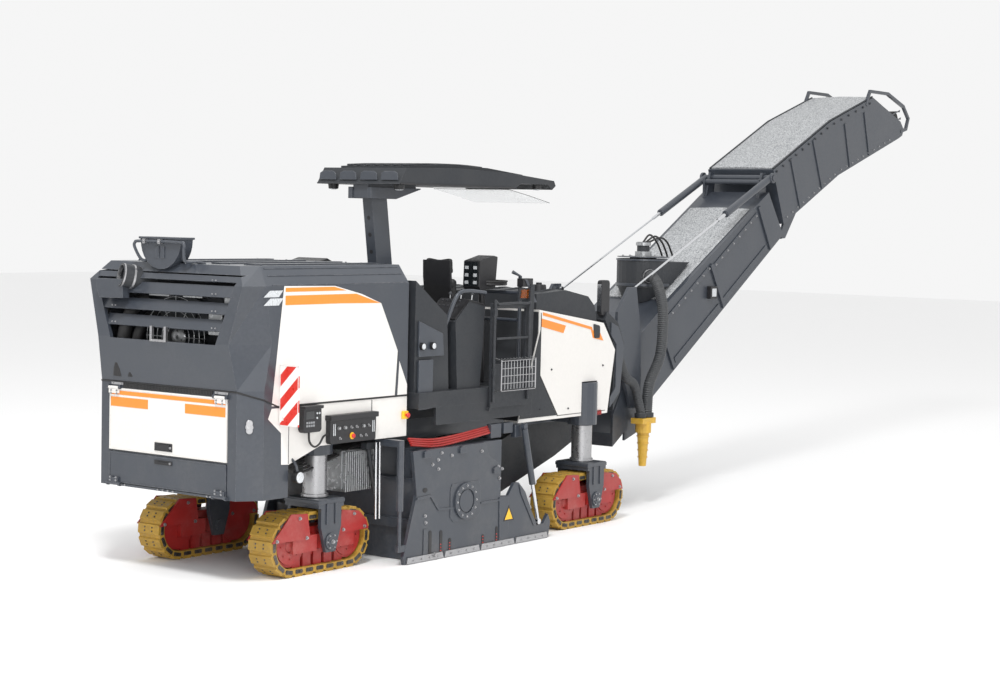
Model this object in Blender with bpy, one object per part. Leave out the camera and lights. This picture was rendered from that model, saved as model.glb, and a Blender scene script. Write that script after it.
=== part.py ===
"""Cold planer: a crawler milling machine with a folding discharge conveyor.

+X is the direction of travel (towards the discharge conveyor), +Y is the
machine's left, +Z is up, z = 0 is the ground.  Inside this file x = 0 is the
milling drum's axis; the root empty moves the whole machine so that its world
origin lies on the ground under the middle of its overall box.
"""
from math import cos, hypot, pi, radians, sin

import bmesh
import bpy
from mathutils import Vector

# ---------------------------------------------------------------- sizes (m)
GAP = 0.0003            # between pieces that touch
RUN = 0.006             # running clearance between moving pieces
SLIDE = 0.0006          # between a guide or pin and what moves on it
BORE = 0.0015           # radial clearance of a turning column or shaft

# running gear
TRACK_WIDTH = 0.26
TRACK_RADIUS = 0.27     # outside of the shoes round each end
TRACK_CENTRES = 0.73
TRACK_BAND = 0.07       # chain and shoe together
TRACK_SHOES = 24
TRACK_SETBACK = 0.05    # column stands this far ahead of the track's middle
REAR_GAUGE = 0.666      # half the distance between the rear track centres
FRONT_GAUGE = 0.82
REAR_LEG_X = -1.57
FRONT_LEG_X = 2.27
COLUMN_RADIUS = 0.10
COLUMN_TOP = 1.40
SLEEVE_RADIUS = COLUMN_RADIUS + 0.05
FORK_TOP = 0.64
FORK_WALL = 0.035

# main frame
FRAME_LOW = 1.02
FRAME_HIGH = 1.20
BEAM_WALL = 0.13
FRAME_REAR = -2.18
FRAME_FRONT = 2.70

# rear body
TAIL_X = -2.685
TAIL_HALF = 0.80        # half width of the flat rear face
BODY_HALF = 0.93
BODY_LOW = 0.72
CORNER_X = -2.50        # where the rear corner's chamfer ends
REAR_BODY_FRONT = -2.20
SEAM_REAR = 1.62        # top of the tail, bottom of the hood's rear band
SEAM_SIDE = 1.49
SHEET = 0.03            # thickness of covers
COVER_LOW = 1.12

TAIL_DOOR_HALF = 0.697
TAIL_DOOR_LOW = 1.027
TAIL_DOOR_HIGH = 1.556
TAIL_FLAP_LOW = 0.745
TAIL_FLAP_HIGH = 1.010
LOCKER_DEPTH = 0.19     # behind the tail door, clear of the radiator
FLAP_DEPTH = 0.30
LOCKER_LIP = 0.005      # opening wider than its door
TAIL_HINGE_OUT = 0.0185  # hinge pins stand this far behind the tail
TAIL_HINGE_STEP = 0.006  # and this far past the door's edge
TAIL_KNUCKLE = 0.012
TAIL_KNUCKLE_IN = 0.57
TAIL_KNUCKLE_OUT = 0.69
TAIL_HINGE_X = TAIL_X - TAIL_HINGE_OUT
TAIL_DOOR_HINGE_Z = TAIL_DOOR_HIGH + TAIL_HINGE_STEP
TAIL_FLAP_HINGE_Z = TAIL_FLAP_LOW - TAIL_HINGE_STEP
SEAM_FOOT_X = -2.33     # the seam slopes down to here from the tail's corner

# engine hood
HOOD_FRONT = -0.66
HOOD_TOP = 2.64
HOOD_EDGE_Z = 2.48      # where the side wall breaks into the bevel
HOOD_LEAN = 0.075       # rearward lean of the band under the louvres
HOOD_BAND_Z = 2.00
HOOD_SKIN = 0.035
MOUTH_LOW = (0.62, 1.99)   # half width and height of the louvred mouth's foot
MOUTH_HIGH = (0.84, 2.565)
LOUVRES = ((2.15, 0.090), (2.29, 0.090), (2.43, 0.090), (2.53, 0.045))  # middle and depth
HOOD_HINGE = (-0.70, 0.0, 2.575)
HOOD_EAR_Y = 0.50
HOOD_PIN_RADIUS = 0.012

PIPE_START = (-2.54, 0.33, 2.475)
PIPE_END = (-2.80, 0.46, 2.53)
PIPE_RADIUS = 0.10
PIPE_WALL = 0.008

# engine, radiator and fan
ENGINE = ((-1.95, -0.85), (-0.42, 0.42), (FRAME_HIGH + GAP, 2.02))
RADIATOR = ((-2.42, -2.28), (-0.68, 0.68), (SEAM_SIDE - RUN + GAP, 2.40))
FAN_RADIUS = 0.34
FAN_X = -2.50
FAN_Z = 2.02

# milling unit
DRUM_Z = 0.489
DRUM_RADIUS = 0.40
DRUM_TIP = 0.47
DRUM_RIGHT = -1.028
DRUM_LEFT = 0.472
DRUM_RINGS = 10
DRUM_TEETH = 5
HOUSING_RIGHT = -1.055
HOUSING_LEFT = 0.62
HOUSING_WALL = 0.02
HOUSING_REAR = -0.60
HOUSING_FRONT = 0.60
HOUSING_TOP = 1.0
HOUSING_LOW = 0.22
PLATE_WALL = 0.034
PLATE_RUN = 0.007       # between a side plate and the housing
PLATE_OUT = HOUSING_RIGHT - PLATE_RUN - PLATE_WALL  # outer face of the right side plate
PLATE_TRAVEL = 0.30
SCRAPER_X = -0.66
SCRAPER_WALL = 0.04
SCRAPER_TRAVEL = 0.22

REAR_CYL_X = -0.915
REAR_CYL_EYE = 0.15
REAR_CYL_LUG = 0.03
REAR_CYL_LOW = REAR_CYL_EYE + REAR_CYL_LUG + PLATE_TRAVEL + RUN
FRONT_CYL_TOP = (0.92, 1.10)
FRONT_CYL_EYE = (1.18, 0.17)
EYE_RADIUS = 0.028
EYE_SEAT = FRONT_CYL_EYE[1] - EYE_RADIUS - GAP
CYL_RADIUS = 0.032
ROD_RADIUS = 0.017

# front hood over the water tank
TANK_REAR = 1.38
TANK_FRONT = 2.67
TANK_LOW = 1.11
TANK_TOP = 2.19
TANK_NOSE = (2.50, 2.03)

# platform and canopy
DECK_Z = 1.50
DECK_THICK = 0.14
DECK_REAR = -0.60
DECK_FRONT = 1.12
DECK_HALF = 1.02
SEAT_X = 0.52
SEAT_Y = -0.34
SEAT_Z = 2.06
GATE_REAR = 0.42
GATE_FRONT = 1.00
GATE_LOW = 1.31
GATE_HIGH = 2.28
POST_TOP_X = -0.055     # middle of the post where it meets the roof bracket
POST_TOP_Z = 3.26
POST_LEAN = radians(8.5)
SLEEVE_LENGTH = 0.95
CANOPY_REAR = -0.30
CANOPY_FRONT = 2.17
CANOPY_HALF = 0.50
CANOPY_Z = 3.34
CANOPY_TRAVEL = 0.45

# discharge conveyor
SLEW_X = 3.18
WALL_X = 2.735
EAR_LOW = 1.60
EAR_HIGH = 1.89
BOOM_HALF = 0.45
BOOM_WALL = 0.03
BOOM_FOOT = (3.38, 0.65)
BOOM_LENGTH = 4.27
LIFT_X = 3.72
LIFT_Z = 1.16
BOOM_ANGLE = radians(32.3)


def boom_point(along, up):
    """Point on the lower boom: along its underside from the foot, and square to it."""
    c, s = cos(BOOM_ANGLE), sin(BOOM_ANGLE)
    return (BOOM_FOOT[0] + along * c - up * s, BOOM_FOOT[1] + along * s + up * c)


PICKUP_HALF = BOOM_HALF - BOOM_WALL - 0.045
BEAM_IN = PICKUP_HALF + 0.025
BEAM_OUT = BEAM_IN + BEAM_WALL
CHEEK_IN = BOOM_HALF + 0.025     # slewing foot's cheeks beside the boom
CHEEK_OUT = CHEEK_IN + 0.035
KNUCKLE_OUT = BOOM_HALF - 0.05   # fold knuckles of the lower boom
KNUCKLE_WALL = 0.04
FOLD_X, FOLD_Z = boom_point(BOOM_LENGTH + 0.0335, -0.0232)
JIB_ANGLE = radians(24.5)
JIB_FOOT = (FOLD_X - 0.03, FOLD_Z + 0.13)
JIB_BEND = 1.50         # along the jib's underside to its bend
JIB_TIP = 1.75          # from the bend to the tip
JIB_DEPTH = 0.70
TIP_ANGLE = radians(17.6)

CROSSBAR = boom_point(BOOM_LENGTH + 0.0703, 0.7462)
CROSSBAR_RADIUS = 0.035
ROPE_ANCHOR = (3.66, 2.30)
PULL_Y = BOOM_HALF - 0.01
FOLD_EAR = 0.052
FOLD_PIN_RADIUS = 0.030
FOLD_CYL_FOOT = boom_point(BOOM_LENGTH - 1.7256, -0.1297)
FOLD_CYL_EYE = (FOLD_X + 0.27, FOLD_Z - 0.13)

# dust extraction
FAN_DRUM = (4.56, -0.03, 2.33)
FAN_PORT = radians(226)  # the port faces back and to the right
PORT_REACH = 0.37
Y_PIECE = (3.76, -(CHEEK_OUT + 0.09), 0.90)
HOSE_RADIUS = 0.060
REAR_HOSE_RADIUS = 0.050
REAR_PORT = (2.93, -0.70, 1.72)

# striped panels
PANEL_X = -2.33
PANEL_IN = BODY_HALF + 0.015
PANEL_OUT = PANEL_IN + 0.205
PANEL_SHEET = 0.014

SHIFT_X = -3.7422         # puts the overall box's middle over the origin


# ------------------------------------------------------------- small tools
def clear_scene():
    for thing in list(bpy.data.objects):
        bpy.data.objects.remove(thing, do_unlink=True)
    for mesh in list(bpy.data.meshes):
        bpy.data.meshes.remove(mesh)


def paint(name, colour, roughness=0.45, metallic=0.0):
    material = bpy.data.materials.new(name)
    material.use_nodes = True
    shader = material.node_tree.nodes["Principled BSDF"]
    shader.inputs["Base Color"].default_value = (*colour, 1.0)
    shader.inputs["Roughness"].default_value = roughness
    shader.inputs["Metallic"].default_value = metallic
    material.diffuse_color = (*colour, 1.0)
    return material


PIVOT_AT = {}


def pivot(name, place, parent=None):
    """Empty on a joint's axis; places are given in machine coordinates."""
    empty = bpy.data.objects.new(name, None)
    bpy.context.collection.objects.link(empty)
    place = Vector(place)
    PIVOT_AT[name] = place
    if parent:
        empty.parent = bpy.data.objects[parent]
        empty.location = place - PIVOT_AT[parent]
    return empty


def shape(verts, faces):
    """Temporary object from a closed set of faces, turned to point outwards."""
    mesh = bpy.data.meshes.new("shape")
    mesh.from_pydata([tuple(v) for v in verts], [], faces)
    work = bmesh.new()
    work.from_mesh(mesh)
    bmesh.ops.recalc_face_normals(work, faces=work.faces)
    work.to_mesh(mesh)
    work.free()
    thing = bpy.data.objects.new("shape", mesh)
    bpy.context.collection.objects.link(thing)
    return thing


def prism(outline, axis, low, high):
    """Outline in the two other axes' plane, extruded along axis."""
    spots = []
    for level in (low, high):
        for a, b in outline:
            spots.append({"x": (level, a, b), "y": (a, level, b), "z": (a, b, level)}[axis])
    n = len(outline)
    faces = [tuple(range(n)), tuple(range(2 * n - 1, n - 1, -1))]
    faces += [(i, (i + 1) % n, n + (i + 1) % n, n + i) for i in range(n)]
    return shape(spots, faces)


def block(x, y, z):
    return prism([(x[0], y[0]), (x[1], y[0]), (x[1], y[1]), (x[0], y[1])], "z", z[0], z[1])


def loft(rings):
    """Closed skin over rings that all have the same number of points."""
    n = len(rings[0])
    verts = [spot for ring in rings for spot in ring]
    faces = [tuple(range(n)), tuple(range(len(verts) - 1, len(verts) - n - 1, -1))]
    for level in range(len(rings) - 1):
        base = level * n
        faces += [(base + i, base + (i + 1) % n, base + n + (i + 1) % n, base + n + i) for i in range(n)]
    return shape(verts, faces)


def round_bar(start, end, radius, sides=16, end_radius=None):
    start, end = Vector(start), Vector(end)
    along = (end - start).normalized()
    side = along.cross(Vector((0, 1, 0)) if abs(along.y) < 0.9 else Vector((1, 0, 0))).normalized()
    up = along.cross(side)
    rings = []
    for centre, size in ((start, radius), (end, radius if end_radius is None else end_radius)):
        rings.append([centre + size * (cos(2 * pi * (i + 0.5) / sides) * side
                                       + sin(2 * pi * (i + 0.5) / sides) * up) for i in range(sides)])
    return loft(rings)


def bent_bar(route, radius, sides=10):
    """Bar along a route of points, mitred at each."""
    points = [Vector(p) for p in route]
    rings = []
    side = None
    for i, point in enumerate(points):
        before = points[max(i - 1, 0)]
        after = points[min(i + 1, len(points) - 1)]
        along = (after - before).normalized()
        if side is None:
            side = along.cross(Vector((0, 0, 1)) if abs(along.z) < 0.9 else Vector((1, 0, 0))).normalized()
        side = (side - along * side.dot(along)).normalized()
        up = along.cross(side)
        rings.append([point + radius * (cos(2 * pi * k / sides) * side + sin(2 * pi * k / sides) * up)
                      for k in range(sides)])
    return loft(rings)


def smooth_route(points, steps):
    """Catmull-Rom curve through hand-chosen points."""
    pts = [Vector(p) for p in points]
    pts = [2 * pts[0] - pts[1]] + pts + [2 * pts[-1] - pts[-2]]
    out = []
    for i in range(1, len(pts) - 2):
        a, b, c, d = pts[i - 1:i + 3]
        for k in range(steps):
            t = k / steps
            out.append(0.5 * (2 * b + (c - a) * t + (2 * a - 5 * b + 4 * c - d) * t ** 2
                              + (3 * b - a - 3 * c + d) * t ** 3))
    out.append(pts[-2])
    return out


def combine(base, tool, how):
    cut = base.modifiers.new("combine", "BOOLEAN")
    cut.operation = how
    cut.solver = "EXACT"
    cut.object = tool
    graph = bpy.context.evaluated_depsgraph_get()
    mesh = bpy.data.meshes.new_from_object(base.evaluated_get(graph))
    base.modifiers.remove(cut)
    base.data = mesh
    bpy.data.objects.remove(tool, do_unlink=True)


def carved(base, cuts):
    for tool in cuts:
        combine(base, tool, "DIFFERENCE")
    return base


def node(name, material, parent, adds, cuts=()):
    """One named sub-part: the union of adds less the cuts, riding on a pivot."""
    base = adds[0]
    for tool in adds[1:]:
        combine(base, tool, "UNION")
    for tool in cuts:
        combine(base, tool, "DIFFERENCE")
    mesh = base.data
    work = bmesh.new()
    work.from_mesh(mesh)
    bmesh.ops.remove_doubles(work, verts=work.verts, dist=2e-5)
    bmesh.ops.dissolve_limit(work, angle_limit=radians(0.05), verts=work.verts, edges=work.edges)
    bmesh.ops.translate(work, verts=work.verts, vec=-PIVOT_AT[parent])
    work.to_mesh(mesh)
    work.free()
    mesh.shade_smooth()
    mesh.set_sharp_from_angle(angle=radians(35))
    mesh.materials.clear()
    mesh.materials.append(material)
    base.name = name
    mesh.name = name
    base.parent = bpy.data.objects[parent]
    return base


def turned(centre, radius, start, count, sweep):
    return [(centre[0] + radius * cos(start + sweep * i / count),
             centre[1] + radius * sin(start + sweep * i / count)) for i in range(count + 1)]


def ribbon(route, width):
    """Outline of a flat bar that follows a route, mitred at each corner."""
    left, right = [], []
    for i, point in enumerate(route):
        before, after = route[max(i - 1, 0)], route[min(i + 1, len(route) - 1)]
        along = Vector((after[0] - before[0], after[1] - before[1])).normalized()
        left.append((point[0] - along.y * width / 2, point[1] + along.x * width / 2))
        right.append((point[0] + along.y * width / 2, point[1] - along.x * width / 2))
    return left + right[::-1]


# ---------------------------------------------------------------- materials
def make_paints():
    return {
        "grey": paint("anthracite_paint", (0.052, 0.062, 0.076), 0.42),
        "dark": paint("dark_coating", (0.022, 0.025, 0.030), 0.6),
        "white": paint("white_paint", (0.82, 0.80, 0.78), 0.35),
        "red": paint("red_paint", (0.34, 0.022, 0.020), 0.5),
        "shoe": paint("ochre_pads", (0.42, 0.26, 0.045), 0.6),
        "steel": paint("chrome", (0.75, 0.76, 0.78), 0.12, 1.0),
        "iron": paint("bare_steel", (0.20, 0.20, 0.21), 0.5, 0.8),
        "hose": paint("hose_grey", (0.10, 0.11, 0.12), 0.6),
        "seat": paint("seat_black", (0.012, 0.012, 0.013), 0.7),
        "yellow": paint("nozzle_yellow", (0.56, 0.35, 0.04), 0.5),
        "warn": paint("warning_panel", (0.75, 0.12, 0.10), 0.4),
    }


# ------------------------------------------------------------- running gear
def track_outline(centre_x, radius, tooth=0.0):
    """Racetrack round both ends; with a tooth depth, each shoe stands proud of the chain."""
    half = TRACK_CENTRES / 2
    straight = TRACK_CENTRES
    lap = 2 * straight + 2 * pi * radius
    pitch = lap / TRACK_SHOES
    stations = []
    for i in range(TRACK_SHOES):
        base = (i + 0.25) * pitch
        if tooth:
            for share, drop in ((0.00, tooth), (0.08, 0.0), (0.72, 0.0), (0.80, tooth)):
                stations.append((base + share * pitch, drop))
        else:
            stations.append((base, 0.0))
            stations.append((base + 0.5 * pitch, 0.0))
    points = []
    for distance, drop in stations:
        s = distance % lap
        r = radius - drop
        if s < straight:
            points.append((centre_x - half + s, TRACK_RADIUS - r))
            continue
        s -= straight
        if s < pi * radius:
            turn = -pi / 2 + s / radius
            points.append((centre_x + half + r * cos(turn), TRACK_RADIUS + r * sin(turn)))
            continue
        s -= pi * radius
        if s < straight:
            points.append((centre_x + half - s, TRACK_RADIUS + r))
            continue
        s -= straight
        turn = pi / 2 + s / radius
        points.append((centre_x - half + r * cos(turn), TRACK_RADIUS + r * sin(turn)))
    return points


def oval(centre_x, radius, ends=12):
    half = TRACK_CENTRES / 2
    right = turned((centre_x + half, TRACK_RADIUS), radius, -pi / 2, ends, pi)
    left = turned((centre_x - half, TRACK_RADIUS), radius, pi / 2, ends, pi)
    return right + left


def crawler(name, x, y, paints, root):
    """Track loop, track frame and leg that steer together about the column's axis."""
    body = name + "_pivot"
    pivot(body, (x, y, 0.0), root)
    middle = x - TRACK_SETBACK
    low, high = y - TRACK_WIDTH / 2, y + TRACK_WIDTH / 2
    inner = TRACK_RADIUS - TRACK_BAND
    node(name + "_track", paints["shoe"], body,
         [prism(track_outline(middle, TRACK_RADIUS, 0.018), "y", low, high)],
         [prism(oval(middle, inner), "y", low - 0.01, high + 0.01)])

    half = TRACK_CENTRES / 2
    rail_low = TRACK_BAND + GAP
    hub = TRACK_WIDTH / 2 + 0.012
    adds = [block((middle - half, middle + half), (y - 0.07, y + 0.07), (0.16, 0.40))]
    for end in (-half, half):
        adds.append(prism(turned((middle + end, TRACK_RADIUS), inner - 0.012, 0.05, 20, 2 * pi)[:-1],
                          "y", y - 0.09, y + 0.09))
    for i in range(5):
        spot = middle + (i - 2) * 0.135
        adds.append(prism([(spot - 0.05, rail_low), (spot + 0.05, rail_low), (spot + 0.05, 0.20),
                           (spot - 0.05, 0.20)], "y", y - 0.085, y + 0.085))
    adds.append(block((x - 0.42, x - 0.12), (y - hub, y + hub), (0.20, 0.34)))
    adds.append(block((x - 0.07, x + 0.07), (y - hub, y + hub), (0.21, 0.33)))
    adds.append(block((x + 0.10, x + 0.36), (y - hub, y + hub), (0.20, 0.36)))
    for side in (-1, 1):
        near, far = sorted((y + side * (TRACK_WIDTH / 2 + 0.006), y + side * (TRACK_WIDTH / 2 + 0.020)))
        rear = [(middle - 0.63, 0.32), (middle - 0.16, 0.31), (middle - 0.20, 0.53), (middle - 0.40, 0.545)]
        front = [(middle + 0.21, 0.32), (middle + 0.60, 0.32), (middle + 0.57, 0.40), (middle + 0.47, 0.49),
                 (middle + 0.24, 0.52)]
        adds.append(prism(rear, "y", near, far))
        adds.append(prism(front, "y", near, far))
    node(name + "_track_frame", paints["red"], body, adds)

    fork_in = TRACK_WIDTH / 2 + 0.030
    fork_out = fork_in + FORK_WALL
    adds = [round_bar((x, y, FORK_TOP - 0.02), (x, y, COLUMN_TOP), COLUMN_RADIUS, 24),
            block((x - 0.16, x + 0.16), (y - fork_out, y + fork_out), (0.565, FORK_TOP))]
    plate = [(x - 0.13, FORK_TOP - 0.005), (x - 0.13, 0.40), (x - 0.06, 0.18), (x + 0.06, 0.18),
             (x + 0.13, 0.40), (x + 0.13, FORK_TOP - 0.005)]
    for side in (-1, 1):
        near, far = sorted((y + side * fork_in, y + side * fork_out))
        adds.append(prism(plate, "y", near, far))
        pin_in, pin_out = sorted((y + side * (hub + GAP), y + side * (fork_out + 0.02)))
        adds.append(prism(turned((x, 0.27), 0.05, 0, 12, 2 * pi)[:-1], "y", pin_in, pin_out))
    node(name + "_leg", paints["grey"], body, adds)


# -------------------------------------------------------------- main frame
def main_frame(paints, root):
    adds = []
    bores = []
    for side in (-1, 1):
        y = sorted((side * BEAM_IN, side * BEAM_OUT))
        adds.append(block((FRAME_REAR, FRAME_FRONT), y, (FRAME_LOW, FRAME_HIGH)))
        for x, gauge in ((REAR_LEG_X, REAR_GAUGE), (FRONT_LEG_X, FRONT_GAUGE)):
            reach = sorted((side * (BEAM_IN + 0.03), side * gauge))
            adds.append(block((x - SLEEVE_RADIUS + 0.02, x + SLEEVE_RADIUS - 0.02), reach,
                              (FRAME_LOW + 0.01, FRAME_HIGH + 0.12)))
            adds.append(round_bar((x, side * gauge, FRAME_LOW - 0.005), (x, side * gauge, COLUMN_TOP + 0.04),
                                  SLEEVE_RADIUS, 24))
        outer = PLATE_OUT + PLATE_WALL / 2 if side < 0 else HOUSING_LEFT + RUN + PLATE_WALL / 2
        adds.append(block((REAR_CYL_X - 0.03, REAR_CYL_X + 0.03), sorted((side * (BEAM_OUT - 0.03), outer)),
                          (FRAME_LOW + 0.03, FRAME_LOW + 0.09)))
        adds.append(round_bar((REAR_CYL_X, outer, REAR_CYL_LOW), (REAR_CYL_X, outer, FRAME_LOW + 0.09), CYL_RADIUS, 14))
        bores.append(round_bar((REAR_CYL_X, outer, REAR_CYL_LOW - 0.1),
                               (REAR_CYL_X, outer, REAR_CYL_LOW + PLATE_TRAVEL + 0.15), ROD_RADIUS + 0.0008, 14))
    for x in (FRAME_REAR + 0.002, -0.98, 0.74):
        adds.append(block((x, x + 0.12), (-BEAM_IN - 0.05, BEAM_IN + 0.05), (FRAME_LOW + 0.02, FRAME_HIGH - 0.02)))
    cuts = [round_bar((x, side * gauge, FRAME_LOW - 0.1), (x, side * gauge, COLUMN_TOP + GAP),
                      COLUMN_RADIUS + BORE, 24)
            for x, gauge in ((REAR_LEG_X, REAR_GAUGE), (FRONT_LEG_X, FRONT_GAUGE)) for side in (-1, 1)]
    node("main_frame", paints["grey"], root, adds, cuts + bores)
    node("engine_block", paints["iron"], root, [block(*ENGINE)])


def rear_plan(grow=0.0, front=REAR_BODY_FRONT):
    tail, corner = TAIL_X - grow, BODY_HALF + grow
    return [(front, -corner), (front, corner), (CORNER_X, corner), (tail, TAIL_HALF), (tail, -TAIL_HALF),
            (CORNER_X, -corner)]


def rear_body(paints, root):
    """Tail shell with the tool locker behind the tail door."""
    outer = prism(rear_plan(), "z", BODY_LOW, SEAM_REAR - RUN)
    front = REAR_BODY_FRONT + 0.1
    step = prism([(TAIL_X, SEAM_REAR - RUN), (SEAM_FOOT_X, SEAM_SIDE - RUN), (front, SEAM_SIDE - RUN),
                  (front, SEAM_REAR + 0.1), (TAIL_X, SEAM_REAR + 0.1)], "y", -1.2, 1.2)
    shelf = block((RADIATOR[0][0] - RUN, front), (RADIATOR[1][0] - RUN, RADIATOR[1][1] + RUN),
                  (SEAM_SIDE - RUN, SEAM_REAR + 0.1))
    locker = block((TAIL_X - 0.1, TAIL_X + LOCKER_DEPTH), (-TAIL_DOOR_HALF - RUN, TAIL_DOOR_HALF + RUN),
                   (TAIL_DOOR_LOW - RUN, TAIL_DOOR_HIGH + LOCKER_LIP))
    flap = block((TAIL_X - 0.1, TAIL_X + FLAP_DEPTH), (-TAIL_DOOR_HALF - RUN, TAIL_DOOR_HALF + RUN),
                 (TAIL_FLAP_LOW - RUN, TAIL_FLAP_HIGH + LOCKER_LIP))
    lugs = []
    root_x = TAIL_HINGE_OUT + 0.004
    for z, away in ((TAIL_DOOR_HINGE_Z, 1), (TAIL_FLAP_HINGE_Z, -1)):
        lug = [(TAIL_HINGE_X + x, z + away * up)
               for x, up in ((-0.012, 0.012), (-0.012, -0.006), (-0.006, -0.012), (0.006, -0.012), (0.012, -0.001),
                             (root_x, 0.0), (root_x, 0.022), (0.0, 0.022))]
        for side in (-1, 1):
            for near, far in ((TAIL_KNUCKLE_IN - 0.022, TAIL_KNUCKLE_IN - GAP),
                              (TAIL_KNUCKLE_OUT + GAP, TAIL_KNUCKLE_OUT + 0.022)):
                lugs.append(prism(lug, "y", *sorted((side * near, side * far))))
    cuts = [step, shelf, locker, flap]
    node("rear_body", paints["grey"], root, [carved(outer, cuts)] + lugs)


def tail_doors(paints, root):
    for name, colour, low, high, edge in (
            ("tail_door", "white", TAIL_DOOR_LOW, TAIL_DOOR_HIGH, TAIL_DOOR_HINGE_Z),
            ("tail_flap", "grey", TAIL_FLAP_LOW, TAIL_FLAP_HIGH, TAIL_FLAP_HINGE_Z)):
        pivot(name + "_pivot", (TAIL_HINGE_X, 0, edge), root)
        adds = [block((TAIL_X - 0.004, TAIL_X + 0.026), (-TAIL_DOOR_HALF, TAIL_DOOR_HALF), (low, high))]
        inward = -1 if edge > high else 1
        for side in (-1, 1):
            y = sorted((side * TAIL_KNUCKLE_IN, side * TAIL_KNUCKLE_OUT))
            adds.append(round_bar((TAIL_HINGE_X, y[0], edge), (TAIL_HINGE_X, y[1], edge), TAIL_KNUCKLE, 16))
            adds.append(block((TAIL_HINGE_X - 0.004, TAIL_X - 0.003), y, sorted((edge, edge + inward * 0.05))))
        node(name, paints[colour], name + "_pivot", adds)


# ------------------------------------------------------------- engine hood
def hood_ring(z, tail, corner_x, corner_y, half, front):
    return [(front, -half, z), (front, half, z), (corner_x, half, z), (tail, corner_y, z),
            (tail, -corner_y, z), (corner_x, -half, z)]


def hood_skin(inset):
    front = HOOD_FRONT + inset
    rear = TAIL_X + inset
    half = BODY_HALF - inset
    band = rear - HOOD_LEAN
    rings = [hood_ring(SEAM_SIDE - 0.1 if inset else SEAM_SIDE, rear, CORNER_X + inset, TAIL_HALF - inset, half, front),
             hood_ring(SEAM_REAR, rear, CORNER_X + inset, TAIL_HALF - inset, half, front),
             hood_ring(HOOD_BAND_Z, band, CORNER_X + 0.08 + inset, TAIL_HALF - inset - 0.03, half, front),
             hood_ring(HOOD_EDGE_Z, band + 0.02, CORNER_X + inset, half - 0.03, half, front),
             hood_ring(HOOD_TOP - inset, band + 0.13, CORNER_X + 0.06 + inset, half - 0.17, half - 0.12, front)]
    return loft(rings)


def engine_hood(paints, root):
    pivot("hood_pivot", HOOD_HINGE, root)
    lower = prism([(TAIL_X - 0.2, SEAM_REAR), (TAIL_X, SEAM_REAR), (SEAM_FOOT_X, SEAM_SIDE),
                   (SEAM_FOOT_X, SEAM_SIDE - 0.3), (TAIL_X - 0.2, SEAM_SIDE - 0.3)], "y", -1.2, 1.2)
    mouth = prism([(-MOUTH_LOW[0], MOUTH_LOW[1]), MOUTH_LOW, MOUTH_HIGH, (-MOUTH_HIGH[0], MOUTH_HIGH[1])],
                  "x", TAIL_X - 0.2, TAIL_X + 0.10)
    shell = carved(hood_skin(0.0), [hood_skin(HOOD_SKIN), lower, mouth])
    rear = TAIL_X - HOOD_LEAN
    slats = [shell]
    widening = (MOUTH_HIGH[0] - MOUTH_LOW[0]) / (MOUTH_HIGH[1] - MOUTH_LOW[1])
    for z, depth in LOUVRES:
        end = MOUTH_LOW[0] + widening * (z + depth / 2 - MOUTH_LOW[1]) + 0.004
        face = rear + 0.014 + max(z - HOOD_EDGE_Z, 0) * 0.6
        slats.append(prism([(face, z - depth / 2), (face + 0.012, z - depth / 2 - 0.006),
                            (face + 0.030 + 0.35 * depth, z + depth / 2 - 0.006),
                            (face + 0.018 + 0.35 * depth, z + depth / 2)], "y", -end, end))
    port = round_bar(*pipe_line(-0.10, 0.15), PIPE_RADIUS + GAP, 20)
    x, _, z = HOOD_HINGE
    bores = [port]
    for side in (-1, 1):
        ear = [(x - 0.04, z + 0.05), (x - 0.03, z - 0.02), (x, z - 0.03), (x + 0.03, z - 0.02), (x + 0.03, z + 0.05)]
        slats.append(prism(ear, "y", *sorted((side * HOOD_EAR_Y, side * (HOOD_EAR_Y + 0.03)))))
        bores.append(round_bar((x, side * (HOOD_EAR_Y - 0.01), z), (x, side * (HOOD_EAR_Y + 0.04), z),
                               HOOD_PIN_RADIUS + SLIDE, 16))
    node("engine_hood", paints["grey"], "hood_pivot", slats, bores)


def pipe_line(before, after):
    """The exhaust pipe's axis, drawn out past its two ends."""
    start, end = Vector(PIPE_START), Vector(PIPE_END)
    along = (end - start).normalized()
    return start + along * before, end + along * after


def cooling(paints, root):
    node("radiator", paints["dark"], root, [block(*RADIATOR)])
    pivot("fan_pivot", (FAN_X, 0, FAN_Z), root)
    adds = [round_bar((FAN_X - 0.05, 0, FAN_Z), (RADIATOR[0][0] - GAP, 0, FAN_Z), 0.08, 16)]
    for i in range(7):
        turn = 2 * pi * i / 7
        side = Vector((0, cos(turn), sin(turn)))
        across = Vector((0, -sin(turn), cos(turn)))
        ring = []
        for reach, width in ((0.05, 0.05), (FAN_RADIUS, 0.09)):
            middle = Vector((FAN_X, 0, FAN_Z)) + side * reach
            ring.append([middle + across * width + Vector((0.025, 0, 0)), middle - across * width + Vector((-0.015, 0, 0)),
                         middle - across * width + Vector((-0.025, 0, 0)), middle + across * width + Vector((0.015, 0, 0))])
        adds.append(loft(ring))
    node("cooling_fan", paints["dark"], "fan_pivot", adds)


# ------------------------------------------------------------ milling unit
def plate_outline():
    """Side plate seen from the right: straight sheared edges."""
    return [(-0.86, 0.004), (-0.87, 0.07), (-0.70, 0.60), (-0.76, 1.00), (0.29, 1.00), (0.36, 0.87), (0.53, 0.78),
            (0.54, 0.48), (0.67, 0.47), (0.76, 0.58), (0.83, 0.58), (0.94, 0.48), (1.125, EYE_SEAT), (1.245, EYE_SEAT),
            (1.32, 0.23), (1.36, 0.15), (1.33, 0.004)]


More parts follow.
